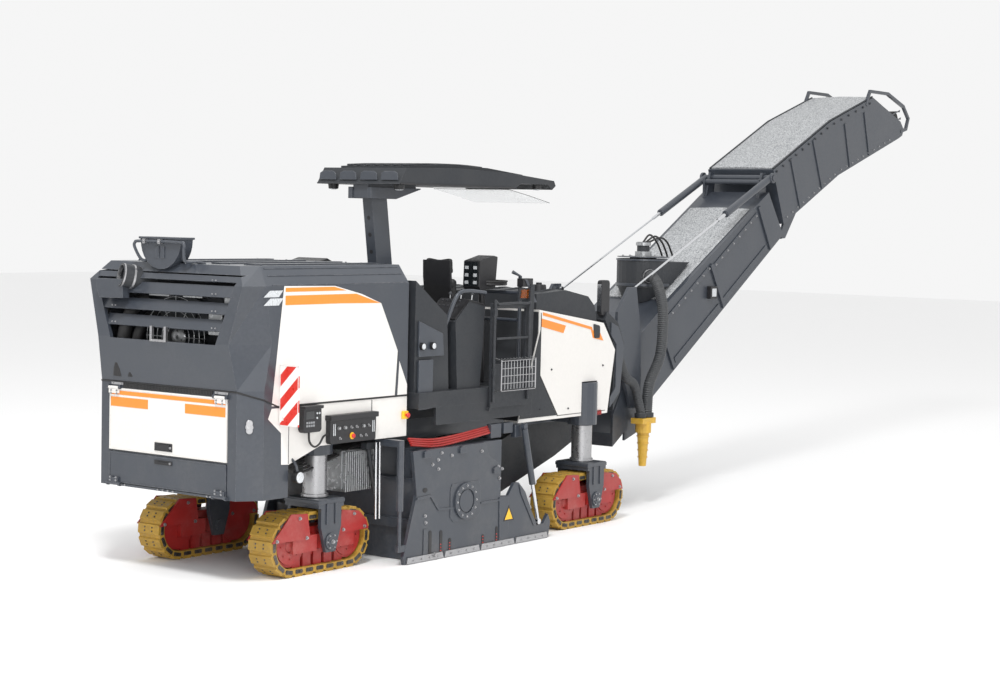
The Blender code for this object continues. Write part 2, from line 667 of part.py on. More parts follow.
def milling_unit(paints, root):
    wall = HOUSING_WALL
    y0, y1 = HOUSING_RIGHT, HOUSING_LEFT
    adds = [block((HOUSING_REAR, HOUSING_FRONT), (y0, y1), (HOUSING_LOW, HOUSING_TOP))]
    inside = block((HOUSING_REAR + wall, HOUSING_FRONT - wall), (y0 + wall, y1 - wall), (-1, HOUSING_TOP - wall))
    mouth = block((HOUSING_FRONT - 0.1, HOUSING_FRONT + 0.1), (-PICKUP_HALF - 0.005, PICKUP_HALF + 0.005),
                  (0.20, 0.70))
    shell = carved(adds[0], [inside, mouth])
    saddle = block((-0.30, 0.30), (-0.50, 0.50), (HOUSING_TOP - 0.005, FRAME_LOW - GAP))
    guides = [block((SCRAPER_X + SCRAPER_WALL + SLIDE, HOUSING_REAR + 0.005), (y, y + 0.06), (0.24, 0.98))
              for y in (y0 + 0.10, y1 - 0.16)]
    boss = round_bar((0, y1 - 0.5 * wall, DRUM_Z), (0, DRUM_LEFT + GAP, DRUM_Z), 0.16, 20)
    node("drum_housing", paints["grey"], root, [shell, saddle, boss] + guides)

    pivot("drum_pivot", (0, 0, DRUM_Z), root)
    adds = [round_bar((0, DRUM_RIGHT, DRUM_Z), (0, DRUM_LEFT, DRUM_Z), DRUM_RADIUS, 30),
            round_bar((0, DRUM_RIGHT + 0.01, DRUM_Z), (0, y0 + wall + GAP, DRUM_Z), 0.12, 16)]
    for ring in range(DRUM_RINGS):
        y = DRUM_RIGHT + 0.07 + ring * (DRUM_LEFT - DRUM_RIGHT - 0.14) / (DRUM_RINGS - 1)
        for tooth in range(DRUM_TEETH):
            turn = 2 * pi * (tooth / DRUM_TEETH + 0.31 * abs(ring - (DRUM_RINGS - 1) / 2) / DRUM_TEETH)
            spots = []
            for angle, radius in ((-0.13, DRUM_RADIUS - 0.02), (-0.05, DRUM_TIP), (0.0, DRUM_TIP),
                                  (0.10, DRUM_RADIUS - 0.02)):
                spots.append((radius * cos(turn + angle), DRUM_Z + radius * sin(turn + angle)))
            adds.append(prism(spots, "y", y - 0.03, y + 0.03))
    node("milling_drum", paints["iron"], "drum_pivot", adds)

    pivot("scraper_pivot", (SCRAPER_X, 0, 0.4), root)
    node("scraper_blade", paints["grey"], "scraper_pivot",
         [block((SCRAPER_X, SCRAPER_X + SCRAPER_WALL), (y0 + RUN, y1 - RUN), (0.006, 0.74)),
          block((SCRAPER_X - 0.05, SCRAPER_X + 0.01), (y0 + 0.05, y1 - 0.05), (0.30, 0.38))])


def side_plate(side, paints, root):
    """Plate that floats up, with its two lift cylinders."""
    right = side == "right"
    outer = PLATE_OUT if right else HOUSING_LEFT + RUN + PLATE_WALL
    inner = outer + PLATE_WALL if right else outer - PLATE_WALL
    out = -1 if right else 1
    body = f"side_plate_{side}_pivot"
    pivot(body, (0, outer, 0.5), root)
    y = sorted((outer, inner))
    adds = [prism(plate_outline(), "y", *y)]
    adds.append(prism(turned((0.0, DRUM_Z), 0.17, 0, 24, 2 * pi)[:-1], "y", *sorted((outer + out * 0.012, inner))))
    mid = (outer + inner) / 2
    adds.append(round_bar((REAR_CYL_X, mid, REAR_CYL_EYE), (REAR_CYL_X, mid, REAR_CYL_LOW + 0.12), ROD_RADIUS, 14))
    adds.append(block((REAR_CYL_X - 0.03, -0.84), (mid - 0.014, mid + 0.014),
                      (REAR_CYL_EYE - REAR_CYL_LUG, REAR_CYL_EYE + REAR_CYL_LUG)))
    node(f"side_plate_{side}", paints["grey"], body, adds)
    lift_cylinder(f"plate_cylinder_{side}", FRONT_CYL_TOP, FRONT_CYL_EYE, (outer + inner) / 2, paints, root)


def lift_cylinder(name, top, eye, y, paints, root):
    """Barrel hung at its top eye, rod sliding along it; the rod's eye is left open."""
    length = hypot(eye[0] - top[0], eye[1] - top[1])
    along = Vector((eye[0] - top[0], 0, eye[1] - top[1])) / length
    start = Vector((top[0], y, top[1]))
    end = Vector((eye[0], y, eye[1]))
    barrel_body = name + "_barrel_pivot"
    rod_body = name + "_rod_pivot"
    pivot(barrel_body, start, root)
    pivot(rod_body, end, barrel_body)
    barrel_end = start + along * (length * 0.60)
    adds = [round_bar(start + along * 0.02, barrel_end, CYL_RADIUS, 14),
            prism(turned(top, 0.030, 0, 12, 2 * pi)[:-1], "y", y - 0.022, y + 0.022)]
    bore = [round_bar(start + along * 0.06, barrel_end + along * 0.02, ROD_RADIUS + 0.0008, 14)]
    node(name + "_barrel", paints["grey"], barrel_body, adds, bore)
    node(name + "_rod", paints["steel"], rod_body,
         [round_bar(start + along * (length * 0.52), end - along * 0.01, ROD_RADIUS, 14),
          prism(turned(eye, EYE_RADIUS, 0, 12, 2 * pi)[:-1], "y", y - 0.016, y + 0.016)])


# ------------------------------------------------ covers, front hood, deck
def side_covers(paints, root):
    for side, out in (("right", -1), ("left", 1)):
        y = sorted((out * BODY_HALF, out * (BODY_HALF - SHEET)))
        rear = REAR_BODY_FRONT + GAP
        outline = [(rear, 0.99), (rear + 0.24, 1.07), (rear + 0.39, COVER_LOW), (HOOD_FRONT, COVER_LOW),
                   (HOOD_FRONT, SEAM_SIDE - RUN), (rear, SEAM_SIDE - RUN)]
        cover = prism(outline, "y", *y)
        stay = block((-1.3, -1.2), sorted((out * (BEAM_OUT + GAP), out * (BODY_HALF - 0.01))), (1.13, 1.18))
        stay2 = block((-0.86, -0.80), sorted((out * (BEAM_OUT + GAP), out * (BODY_HALF - 0.01))), (1.13, 1.18))
        node(f"side_cover_{side}", paints["white"], root, [cover, stay, stay2])


def front_hood(paints, root):
    """Water tank with its sloping hood."""
    outline = [(1.06, TANK_LOW), (2.60, TANK_LOW), (2.72, 1.75), TANK_NOSE, (TANK_REAR, TANK_TOP),
               (TANK_REAR, 1.96)]
    tank = prism(outline, "y", -0.90, 0.90)
    cuts = []
    for side in (-1, 1):
        cuts.append(round_bar((FRONT_LEG_X, side * FRONT_GAUGE, 1.0),
                              (FRONT_LEG_X, side * FRONT_GAUGE, COLUMN_TOP + 0.05), SLEEVE_RADIUS + 0.01, 24))
    cuts.append(block((0.5, FRAME_FRONT + 0.2), (-0.735, 0.735), (TANK_LOW - 0.1, 1.33)))
    rest = [block((1.6, 1.8), (-0.50, 0.50), (FRAME_HIGH + GAP, 1.40))]
    shell = carved(tank, cuts)
    node("front_hood", paints["white"], root, [shell] + rest)
    rear, front = TANK_REAR + 0.03, TANK_NOSE[0] - 0.04
    lid = [(rear, tank_top(rear) + GAP), (front, tank_top(front) + GAP), (front - 0.04, 2.20), (2.30, 2.30),
           (1.90, 2.37), (rear, 2.34)]
    node("tank_lid", paints["dark"], root, [prism(lid, "y", -0.84, 0.84)])


def tank_top(x):
    """Height of the hood's sloping top."""
    return TANK_TOP - (x - TANK_REAR) * (TANK_TOP - TANK_NOSE[1]) / (TANK_NOSE[0] - TANK_REAR)


def platform(paints, root):
    """Deck with its rear walls, rails and the sleeve of the canopy post."""
    adds = [block((DECK_REAR, DECK_FRONT), (-DECK_HALF, DECK_HALF), (DECK_Z - DECK_THICK, DECK_Z)),
            block((DECK_REAR + 0.05, DECK_FRONT - 0.05), (-BEAM_OUT, BEAM_OUT), (FRAME_HIGH + GAP, DECK_Z - 0.01))]
    wall = [(DECK_REAR + 0.002, DECK_Z - 0.02), (-0.10, DECK_Z - 0.02), (-0.14, 2.18), (DECK_REAR + 0.002, 2.50)]
    rail = [(GATE_FRONT + RUN, DECK_Z - 0.02), (GATE_FRONT + 0.10, DECK_Z - 0.02), (GATE_FRONT + 0.14, 2.44),
            (GATE_FRONT + 0.08, 2.42)]
    for side in (-1, 1):
        adds.append(block((-0.35, DECK_FRONT - 0.003), sorted((side * (DECK_HALF - 0.001), side * (DECK_HALF - 0.03))),
                          (1.20, DECK_Z - 0.01)))
        adds.append(prism(rail, "y", *sorted((side * 0.985, side * 1.01))))
    adds.append(prism(wall, "y", -0.96, 0.96))
    adds.append(block((GATE_REAR - 0.015, GATE_REAR + 0.015), (-DECK_HALF - 0.03, -DECK_HALF + 0.01),
                      (GATE_LOW - 0.03, GATE_LOW - GAP)))
    x, _, z = HOOD_HINGE
    lug = [(DECK_REAR + 0.03, 2.38), (DECK_REAR + 0.03, 2.44), (x + 0.025, z + 0.012), (x, z + 0.025), (x - 0.025, z),
           (x - 0.02, z - 0.025)]
    for side in (-1, 1):
        adds.append(prism(lug, "y", *sorted((side * (HOOD_EAR_Y + 0.03 + RUN), side * (HOOD_EAR_Y + 0.065)))))
        adds.append(round_bar((x, side * (HOOD_EAR_Y - 0.005), z), (x, side * (HOOD_EAR_Y + 0.06), z),
                              HOOD_PIN_RADIUS, 16))
    foot, lean = post_line()
    adds.append(slanted_box(foot, foot + lean * SLEEVE_LENGTH, 0.15, 0.10))
    hole = slanted_box(foot + lean * 0.02, foot + lean * (SLEEVE_LENGTH + 0.1), 0.11 + SLIDE, 0.055 + SLIDE)
    node("operator_platform", paints["dark"], root, adds, [hole])
    console = [(0.0, DECK_Z + GAP), (0.34, DECK_Z + GAP), (0.40, 2.25), (0.16, 2.30), (-0.04, 2.12)]
    for side, out in (("right", -1), ("left", 1)):
        node(f"control_console_{side}", paints["dark"], root,
             [prism(console, "y", *sorted((out * 0.62, out * 0.98)))])
    pivot("gate_pivot", (GATE_REAR, -DECK_HALF - 0.018, DECK_Z), root)
    frame = block((GATE_REAR, GATE_FRONT), (-DECK_HALF - 0.030, -DECK_HALF - RUN), (GATE_LOW, GATE_HIGH))
    hole = block((GATE_REAR + 0.05, GATE_FRONT - 0.05), (-1.2, -0.9), (GATE_LOW + 0.40, GATE_HIGH - 0.05))
    node("side_gate", paints["dark"], "gate_pivot", [frame], [hole])
    node("seat_pedestal", paints["dark"], root,
         [block((SEAT_X + 0.14, SEAT_X + 0.30), (SEAT_Y - 0.08, SEAT_Y + 0.08), (DECK_Z + GAP, SEAT_Z - 0.03)),
          block((SEAT_X + 0.04, SEAT_X + 0.42), (SEAT_Y - 0.20, SEAT_Y + 0.20), (SEAT_Z - 0.06, SEAT_Z))])
    seat = [(SEAT_X, SEAT_Z + GAP), (SEAT_X + 0.46, SEAT_Z + GAP), (SEAT_X + 0.46, SEAT_Z + 0.12),
            (SEAT_X + 0.12, SEAT_Z + 0.12), (SEAT_X + 0.04, SEAT_Z + 0.64), (SEAT_X - 0.06, SEAT_Z + 0.64)]
    node("operator_seat", paints["seat"], root, [prism(seat, "y", SEAT_Y - 0.22, SEAT_Y + 0.22)])


def post_line():
    lean = Vector((-sin(POST_LEAN), 0, cos(POST_LEAN)))
    top = Vector((POST_TOP_X, 0, POST_TOP_Z))
    foot = top - lean * ((POST_TOP_Z - DECK_Z + 0.01) / cos(POST_LEAN))
    return foot, lean


def slanted_box(start, end, half_x, half_y):
    """Square-cut bar that leans in the x-z plane."""
    along = (end - start).normalized()
    side = Vector((along.z, 0, -along.x))
    rings = []
    for spot in (start, end):
        rings.append([spot + side * sx * half_x + Vector((0, sy * half_y, 0))
                      for sx, sy in ((-1, -1), (1, -1), (1, 1), (-1, 1))])
    return loft(rings)


def canopy(paints, root):
    foot, lean = post_line()
    top = Vector((POST_TOP_X, 0, POST_TOP_Z))
    pivot("canopy_pivot", top, root)
    bottom = foot + lean * (0.02 + CANOPY_TRAVEL + 0.03)
    node("canopy_post", paints["grey"], "canopy_pivot",
         [slanted_box(bottom, top, 0.11, 0.055),
          prism([(top.x - 0.20, top.z - 0.03), (top.x + 0.13, top.z - 0.03), (top.x + 0.50, CANOPY_Z - 0.01),
                 (top.x + 0.50, CANOPY_Z + 0.02 - GAP), (top.x - 0.20, CANOPY_Z + 0.02 - GAP)], "y", -0.09, 0.09)])
    z = CANOPY_Z + 0.02
    span = CANOPY_FRONT - CANOPY_REAR
    edge = [(CANOPY_REAR, z), (CANOPY_REAR + 0.72 * span, z), (CANOPY_REAR + 0.76 * span, z + 0.05),
            (CANOPY_FRONT - 0.14, z + 0.05), (CANOPY_FRONT - 0.06, z), (CANOPY_FRONT, z + 0.04),
            (CANOPY_FRONT - 0.03, z + 0.09), (CANOPY_REAR + 0.70 * span, z + 0.145),
            (CANOPY_REAR + 0.35 * span, z + 0.17), (CANOPY_REAR + 0.10, z + 0.15)]
    crown = [(CANOPY_REAR + 0.20, z + 0.02), (CANOPY_FRONT - 0.70, z + 0.02), (CANOPY_FRONT - 0.40, z + 0.14),
             (CANOPY_REAR + 0.60 * span, z + 0.19), (CANOPY_REAR + 0.30 * span, z + 0.20),
             (CANOPY_REAR + 0.20, z + 0.17)]
    node("canopy_roof", paints["dark"], "canopy_pivot",
         [prism(edge, "y", -CANOPY_HALF, CANOPY_HALF), prism(crown, "y", -CANOPY_HALF + 0.12, CANOPY_HALF - 0.12)])


# --------------------------------------------------------------- conveyors
def front_bulkhead(paints, root):
    """Wall ahead of the tank that carries the two lamp consoles and the slewing ears."""
    console = [(WALL_X, 1.12), (2.86, 1.30), (2.92, 1.80), (2.80, 2.02), (2.60, 2.14), (2.56, 2.06), (WALL_X, 1.79)]
    adds = [block((WALL_X, WALL_X + 0.06), (-0.62, 0.62), (1.215, EAR_HIGH + 0.06)),
            block((FRAME_FRONT + GAP, WALL_X + 0.06), (-0.52, 0.52), (FRAME_LOW, FRAME_HIGH + 0.02))]
    for side in (-1, 1):
        adds.append(prism(console, "y", *sorted((side * 0.56, side * 0.88))))
    for z in (EAR_LOW, EAR_HIGH):
        adds.append(block((WALL_X + 0.01, SLEW_X), (-0.15, 0.15), (z, z + 0.06)))
        adds.append(prism(turned((SLEW_X, 0), 0.15, 0, 24, 2 * pi)[:-1], "z", z, z + 0.06))
    adds.append(round_bar((2.85, *REAR_PORT[1:]), REAR_PORT, REAR_HOSE_RADIUS + 0.008, 16))
    cuts = [block((2.5, 3.0), (-PICKUP_HALF - 0.045, PICKUP_HALF + 0.045), (0.9, 1.52)),
            round_bar((SLEW_X, 0, EAR_LOW - 0.1), (SLEW_X, 0, EAR_HIGH + 0.2), 0.06 + BORE, 24)]
    node("front_bulkhead", paints["dark"], root, adds, cuts)


def pickup_conveyor(paints, root):
    depth = 0.52
    low = [(HOUSING_FRONT + GAP, 0.19), (1.0, 0.19), (2.44, 0.64), (2.84, 0.80), (2.95, 1.03), (3.24, 1.10)]
    high = [(3.24, 1.50), (2.95, 1.44), (2.44, 0.64 + depth), (1.0, 0.19 + depth), (HOUSING_FRONT + GAP, 0.19 + depth)]
    hangers = [block((1.2, 1.3), sorted((s * (PICKUP_HALF - 0.005), s * (BEAM_IN + 0.03))), (0.60, FRAME_LOW - GAP))
               for s in (-1, 1)]
    node("pickup_conveyor", paints["dark"], root, [prism(low + high, "y", -PICKUP_HALF, PICKUP_HALF)] + hangers)


def slew_foot(paints, root):
    pivot("slew_pivot", (SLEW_X, 0, EAR_LOW), root)
    low, high = EAR_LOW + 0.06 + GAP, EAR_HIGH - GAP
    adds = [round_bar((SLEW_X, 0, low), (SLEW_X, 0, high), 0.13, 24),
            round_bar((SLEW_X, 0, EAR_LOW), (SLEW_X, 0, EAR_HIGH + 0.06), 0.06, 24),
            block((SLEW_X, 3.44), (-0.12, 0.12), (low + 0.02, high - 0.02)),
            block((3.34, 3.46), (-CHEEK_OUT - 0.01, CHEEK_OUT + 0.01), (low + 0.01, high - 0.01))]
    cheek = [(3.35, low + 0.02), (3.35, 2.10), (3.56, 2.36), (3.70, 2.36), (3.80, 1.90), (LIFT_X + 0.12, LIFT_Z + 0.05),
             (LIFT_X + 0.08, LIFT_Z - 0.10), (LIFT_X - 0.08, LIFT_Z - 0.10), (LIFT_X - 0.14, LIFT_Z + 0.05)]
    for side in (-1, 1):
        adds.append(prism(cheek, "y", *sorted((side * CHEEK_IN, side * CHEEK_OUT))))
        adds.append(prism(turned((LIFT_X, LIFT_Z), 0.05, 0, 16, 2 * pi)[:-1], "y",
                          *sorted((side * (BOOM_HALF + GAP), side * (CHEEK_OUT - 0.01)))))
    node("slew_foot", paints["grey"], "slew_pivot", adds)


def lower_boom(paints, root):
    pivot("lift_pivot", (LIFT_X, 0, LIFT_Z), "slew_pivot")
    length = BOOM_LENGTH
    outline = [boom_point(0.02, 0), boom_point(length, 0), boom_point(length - 0.05, 0.62), boom_point(1.45, 0.74),
               boom_point(1.0, 0.74), boom_point(0.36, 0.36), boom_point(0.20, 0.29)]
    shell = prism(outline, "y", -BOOM_HALF, BOOM_HALF)
    trough = [boom_point(-0.1, 0.12), boom_point(0.9, 0.12), boom_point(0.9, 1.2), boom_point(-0.1, 1.2)]
    shell = carved(shell, [prism(trough, "y", -BOOM_HALF + BOOM_WALL, BOOM_HALF - BOOM_WALL)])
    ear = [(LIFT_X - 0.09, LIFT_Z + 0.08), (LIFT_X - 0.09, LIFT_Z - 0.45), (LIFT_X + 0.25, LIFT_Z - 0.35),
           (LIFT_X + 0.25, LIFT_Z + 0.08)]
    adds = [shell]
    for side in (-1, 1):
        adds.append(prism(ear, "y", *sorted((side * (BOOM_HALF - BOOM_WALL + 0.002), side * (BOOM_HALF - 0.002)))))
        bracket = [(CROSSBAR[0] - 0.20, CROSSBAR[1] - 0.42), (CROSSBAR[0] + 0.02, CROSSBAR[1] - 0.32),
                   (CROSSBAR[0] + 0.05, CROSSBAR[1] + 0.03), (CROSSBAR[0] + 0.02, CROSSBAR[1] + 0.06),
                   (CROSSBAR[0] - 0.06, CROSSBAR[1] + 0.06)]
        adds.append(prism(bracket, "y", *sorted((side * (BOOM_HALF - 0.11), side * (BOOM_HALF - 0.08)))))
        knuckle = [boom_point(length - 0.37, 0.05), boom_point(length - 0.02, 0.05), (FOLD_X + 0.05, FOLD_Z + 0.02),
                   (FOLD_X + 0.02, FOLD_Z - 0.05), (FOLD_X - 0.05, FOLD_Z - 0.05)]
        adds.append(prism(knuckle, "y", *sorted((side * (KNUCKLE_OUT - KNUCKLE_WALL), side * KNUCKLE_OUT))))
        foot = [(FOLD_CYL_FOOT[0] - 0.05, FOLD_CYL_FOOT[1] - 0.05), (FOLD_CYL_FOOT[0] + 0.05, FOLD_CYL_FOOT[1] - 0.05),
                (FOLD_CYL_FOOT[0] + 0.12, FOLD_CYL_FOOT[1] + 0.26), (FOLD_CYL_FOOT[0] - 0.20, FOLD_CYL_FOOT[1] + 0.06)]
        adds.append(prism(foot, "y", *sorted((side * FOLD_EAR, side * (FOLD_EAR + 0.02)))))
    past = BOOM_HALF + 0.15
    cuts = [round_bar((CROSSBAR[0], -past, CROSSBAR[1]), (CROSSBAR[0], past, CROSSBAR[1]), CROSSBAR_RADIUS + 0.001, 24),
            round_bar((FOLD_X, -past, FOLD_Z), (FOLD_X, past, FOLD_Z), FOLD_PIN_RADIUS + 0.001, 24)]
    for side in (-1, 1):
        cuts.append(round_bar((FOLD_X, side * (KNUCKLE_OUT + 0.0001), FOLD_Z), (FOLD_X, side * past, FOLD_Z),
                              0.075, 24))
    node("lower_boom", paints["grey"], "lift_pivot", adds, cuts)


def upper_boom(paints, root):
    pivot("fold_pivot", (FOLD_X, 0, FOLD_Z), "lift_pivot")
    c, s = cos(JIB_ANGLE), sin(JIB_ANGLE)
    x0, z0 = JIB_FOOT
    bend = (x0 + JIB_BEND * c, z0 + JIB_BEND * s)
    tc, ts = cos(TIP_ANGLE), sin(TIP_ANGLE)
    tip = (bend[0] + JIB_TIP * tc, bend[1] + JIB_TIP * ts)
    middle = (JIB_ANGLE + TIP_ANGLE) / 2
    crest = (bend[0] - JIB_DEPTH * sin(middle), bend[1] + JIB_DEPTH * cos(middle))
    outline = [(x0, z0), bend, tip, (tip[0] + 0.10, tip[1] + 0.04), (tip[0] + 0.14, tip[1] + 0.12),
               (tip[0] + 0.04, tip[1] + 0.22), (crest[0] + 1.20 * tc, crest[1] + 1.20 * ts), crest,
               (x0 - JIB_DEPTH * s, z0 + JIB_DEPTH * c)]
    adds = [prism(outline, "y", -BOOM_HALF, BOOM_HALF)]
    for side in (-1, 1):
        knuckle = [(x0 + 0.06 * c, z0 + 0.06 * s + 0.01), (x0 + 0.40 * c, z0 + 0.40 * s + 0.01),
                   (FOLD_X + 0.05, FOLD_Z - 0.04), (FOLD_X - 0.035, FOLD_Z - 0.045), (FOLD_X - 0.05, FOLD_Z + 0.02)]
        adds.append(prism(knuckle, "y", *sorted((side * (KNUCKLE_OUT + GAP), side * (KNUCKLE_OUT + 0.03)))))
        lever = [(x0 + 0.16 * c, z0 + 0.16 * s + 0.01), (x0 + 0.55 * c, z0 + 0.55 * s + 0.01),
                 (FOLD_CYL_EYE[0] + 0.05, FOLD_CYL_EYE[1] - 0.03), (FOLD_CYL_EYE[0] - 0.04, FOLD_CYL_EYE[1] - 0.05)]
        adds.append(prism(lever, "y", *sorted((side * FOLD_EAR, side * (FOLD_EAR + 0.02)))))
    relief = [prism(turned((FOLD_X, FOLD_Z), 0.09, 0, 24, 2 * pi)[:-1], "y",
                    *sorted((s * (KNUCKLE_OUT - KNUCKLE_WALL - 0.01), s * (KNUCKLE_OUT + GAP))))
              for s in (-1, 1)]
    pins = [round_bar((FOLD_X, side * (KNUCKLE_OUT - KNUCKLE_WALL + 0.002), FOLD_Z),
                      (FOLD_X, side * (KNUCKLE_OUT + 0.02), FOLD_Z), FOLD_PIN_RADIUS, 24) for side in (-1, 1)]
    body = carved(adds[0], relief)
    hoop = [(crest[0] + 1.0 * tc, crest[1] + 1.0 * ts - 0.05), (crest[0] + 1.12 * tc, crest[1] + 1.12 * ts + 0.10),
            (tip[0] - 0.35, tip[1] + 0.56), (tip[0] + 0.12, tip[1] + 0.42), (tip[0] + 0.28, tip[1] + 0.27),
            (tip[0] + 0.22, tip[1] + 0.13), (tip[0] + 0.05, tip[1] + 0.09)]
    for side in (-1, 1):
        pins.append(prism(ribbon(hoop, 0.04), "y", *sorted((side * (BOOM_HALF - 0.03), side * (BOOM_HALF + 0.006)))))
    node("upper_boom", paints["grey"], "fold_pivot", [body] + adds[1:] + pins)


def pull_gear(paints, root):
    """Crossbar with two cylinders that haul the boom up by wire ropes from the slewing foot."""
    pivot("pull_pivot", (CROSSBAR[0], 0, CROSSBAR[1]), "lift_pivot")
    pivot("rope_pivot", (ROPE_ANCHOR[0], 0, ROPE_ANCHOR[1]), "pull_pivot")
    bar = Vector((CROSSBAR[0], 0, CROSSBAR[1]))
    anchor = Vector((ROPE_ANCHOR[0], 0, ROPE_ANCHOR[1]))
    along = (anchor - bar).normalized()
    reach = Vector((0, BOOM_HALF + 0.05, 0))
    adds = [round_bar(bar - reach, bar + reach, CROSSBAR_RADIUS, 24)]
    bores = []
    for side in (-1, 1):
        out = Vector((0, side * PULL_Y, 0))
        adds.append(round_bar(bar + out, bar + out + along * 1.10, 0.042, 16))
        bores.append(round_bar(bar + out + along * 0.30, bar + out + along * 1.2, 0.0208, 14))
    node("pull_cylinders", paints["grey"], "pull_pivot", adds, bores)
    for name, side in (("right", -1), ("left", 1)):
        out = Vector((0, side * PULL_Y, 0))
        rod_end = bar + out + along * 1.28
        node(f"pull_rope_{name}", paints["steel"], "rope_pivot",
             [round_bar(bar + out + along * 0.60, rod_end, 0.020, 14),
              round_bar(rod_end - along * 0.03, anchor + out, 0.011, 10),
              prism(turned(ROPE_ANCHOR, 0.03, 0, 12, 2 * pi)[:-1], "y", side * PULL_Y - 0.012,
                    side * PULL_Y + 0.012)])


def fold_gear(paints, root):
    """Cylinder under the boom that folds the jib down."""
    start = Vector((FOLD_CYL_FOOT[0], 0, FOLD_CYL_FOOT[1]))
    end = Vector((FOLD_CYL_EYE[0], 0, FOLD_CYL_EYE[1]))
    along = (end - start).normalized()
    length = (end - start).length
    pivot("fold_barrel_pivot", start, "lift_pivot")
    pivot("fold_rod_pivot", end, "fold_barrel_pivot")
    node("fold_cylinder_barrel", paints["grey"], "fold_barrel_pivot",
         [round_bar(start + along * 0.02, start + along * length * 0.62, 0.045, 16),
          prism(turned(FOLD_CYL_FOOT, 0.042, 0, 16, 2 * pi)[:-1], "y", -FOLD_EAR + GAP, FOLD_EAR - GAP)],
         [round_bar(start + along * 0.10, start + along * length * 0.7, 0.0258, 14)])
    node("fold_cylinder_rod", paints["steel"], "fold_rod_pivot",
         [round_bar(start + along * length * 0.55, end - along * 0.02, 0.025, 14),
          prism(turned(FOLD_CYL_EYE, 0.040, 0, 16, 2 * pi)[:-1], "y", -FOLD_EAR + GAP, FOLD_EAR - GAP)])


def dust_extraction(paints, root):
    x, y, z = FAN_DRUM
    adds = [round_bar((x, y, z), (x, y, z + 0.30), 0.29, 28),
            round_bar((x, y, z - 0.36), (x, y, z + 0.01), 0.12, 28, 0.28),
            round_bar((x, y, z + 0.29), (x, y, z + 0.33), 0.15, 20),
            round_bar((x, y, z + 0.32), (x, y, z + 0.50), 0.07, 16),
            prism([(x, y - 0.289), (x + 0.75, -0.30), (x + 0.75, 0.26), (x, y + 0.289)], "z", z + 0.03, z + 0.28)]
    out = Vector((cos(FAN_PORT), sin(FAN_PORT), 0))
    port = Vector((x, y, z + 0.13)) + out * PORT_REACH
    adds.append(round_bar(port - out * 0.15, port, HOSE_RADIUS + 0.008, 16))
    under = [boom_point(-0.5, 0.74), boom_point(4.0, 0.74), boom_point(4.0, -0.5), boom_point(-0.5, -0.5)]
    low, high = under[0], under[1]
    lift = GAP / cos(BOOM_ANGLE)
    under[0], under[1] = (low[0], low[1] + lift), (high[0], high[1] + lift)
    node("fan_drum", paints["dark"], "lift_pivot", adds, [prism(under, "y", -0.6, 0.6)])
    yx, yy, yz = Y_PIECE
    node("hose_y_piece", paints["yellow"], "slew_pivot",
         [block((yx - 0.13, yx + 0.13), (yy - 0.075, yy + 0.075), (yz, yz + 0.06)),
          round_bar((yx, yy, yz + 0.02), (yx, yy, yz - 0.10), 0.085, 16),
          round_bar((yx, yy, yz - 0.09), (yx, yy, yz - 0.46), 0.065, 16, 0.040)])
    down = Vector((0, 0, -1))
    fan_end = Vector((yx + 0.065, yy, yz + 0.06 + GAP))
    hose("suction_hose_front", paints["hose"], "slew_pivot", HOSE_RADIUS, port + out * GAP, out,
         [(x - 0.40, yy + 0.11, z + 0.03), (x - 0.46, yy, z - 0.25), (x - 0.54, yy - 0.03, z - 0.70),
          (yx + 0.10, yy, yz + 0.42)], fan_end, down)
    console_end = Vector((yx - 0.06, yy, yz + 0.06 + GAP))
    start = Vector(REAR_PORT) + Vector((GAP, 0, 0))
    hose("suction_hose_rear", paints["hose"], "slew_pivot", REAR_HOSE_RADIUS, start, Vector((1, 0, 0)),
         [(start.x + 0.22, yy - 0.06, start.z - 0.08), (start.x + 0.40, yy - 0.04, start.z - 0.30),
          (yx - 0.20, yy, yz + 0.42)], console_end, down)


def hose(name, material, parent, radius, start, out, middle, end, into):
    """Flexible hose: straight out of one port, through chosen points, straight into the other."""
    lead = 1.5 * radius
    chosen = [start + out * lead] + [Vector(spot) for spot in middle] + [end - into * lead]
    route = [start] + smooth_route(chosen, 4) + [end]
    curve = bpy.data.curves.new(name, "CURVE")
    curve.dimensions = "3D"
    curve.bevel_depth = radius
    curve.bevel_resolution = 3
    curve.use_fill_caps = True
    spline = curve.splines.new("POLY")
    spline.points.add(len(route) - 1)
    for point, spot in zip(spline.points, route):
        point.co = (*(spot - PIVOT_AT[parent]), 1.0)
    curve.materials.append(material)
    tube = bpy.data.objects.new(name, curve)
    bpy.context.collection.objects.link(tube)
    tube.parent = bpy.data.objects[parent]


def exhaust_and_panels(paints, root):
    node("exhaust_pipe", paints["dark"], "hood_pivot",
         [round_bar(*pipe_line(0, 0), PIPE_RADIUS, 20)],
         [round_bar(*pipe_line(-0.05, 0.05), PIPE_RADIUS - PIPE_WALL, 20)])
    for name, side in (("right", -1), ("left", 1)):
        near = side * (BODY_HALF + GAP)
        node(f"warning_panel_{name}", paints["warn"], root,
             [block((PANEL_X, PANEL_X + PANEL_SHEET), sorted((side * PANEL_IN, side * PANEL_OUT)), (1.33, 1.83)),
              block((PANEL_X + 0.010, PANEL_X + 0.05), sorted((near, side * (PANEL_IN + 0.075))), (1.37, 1.43))])


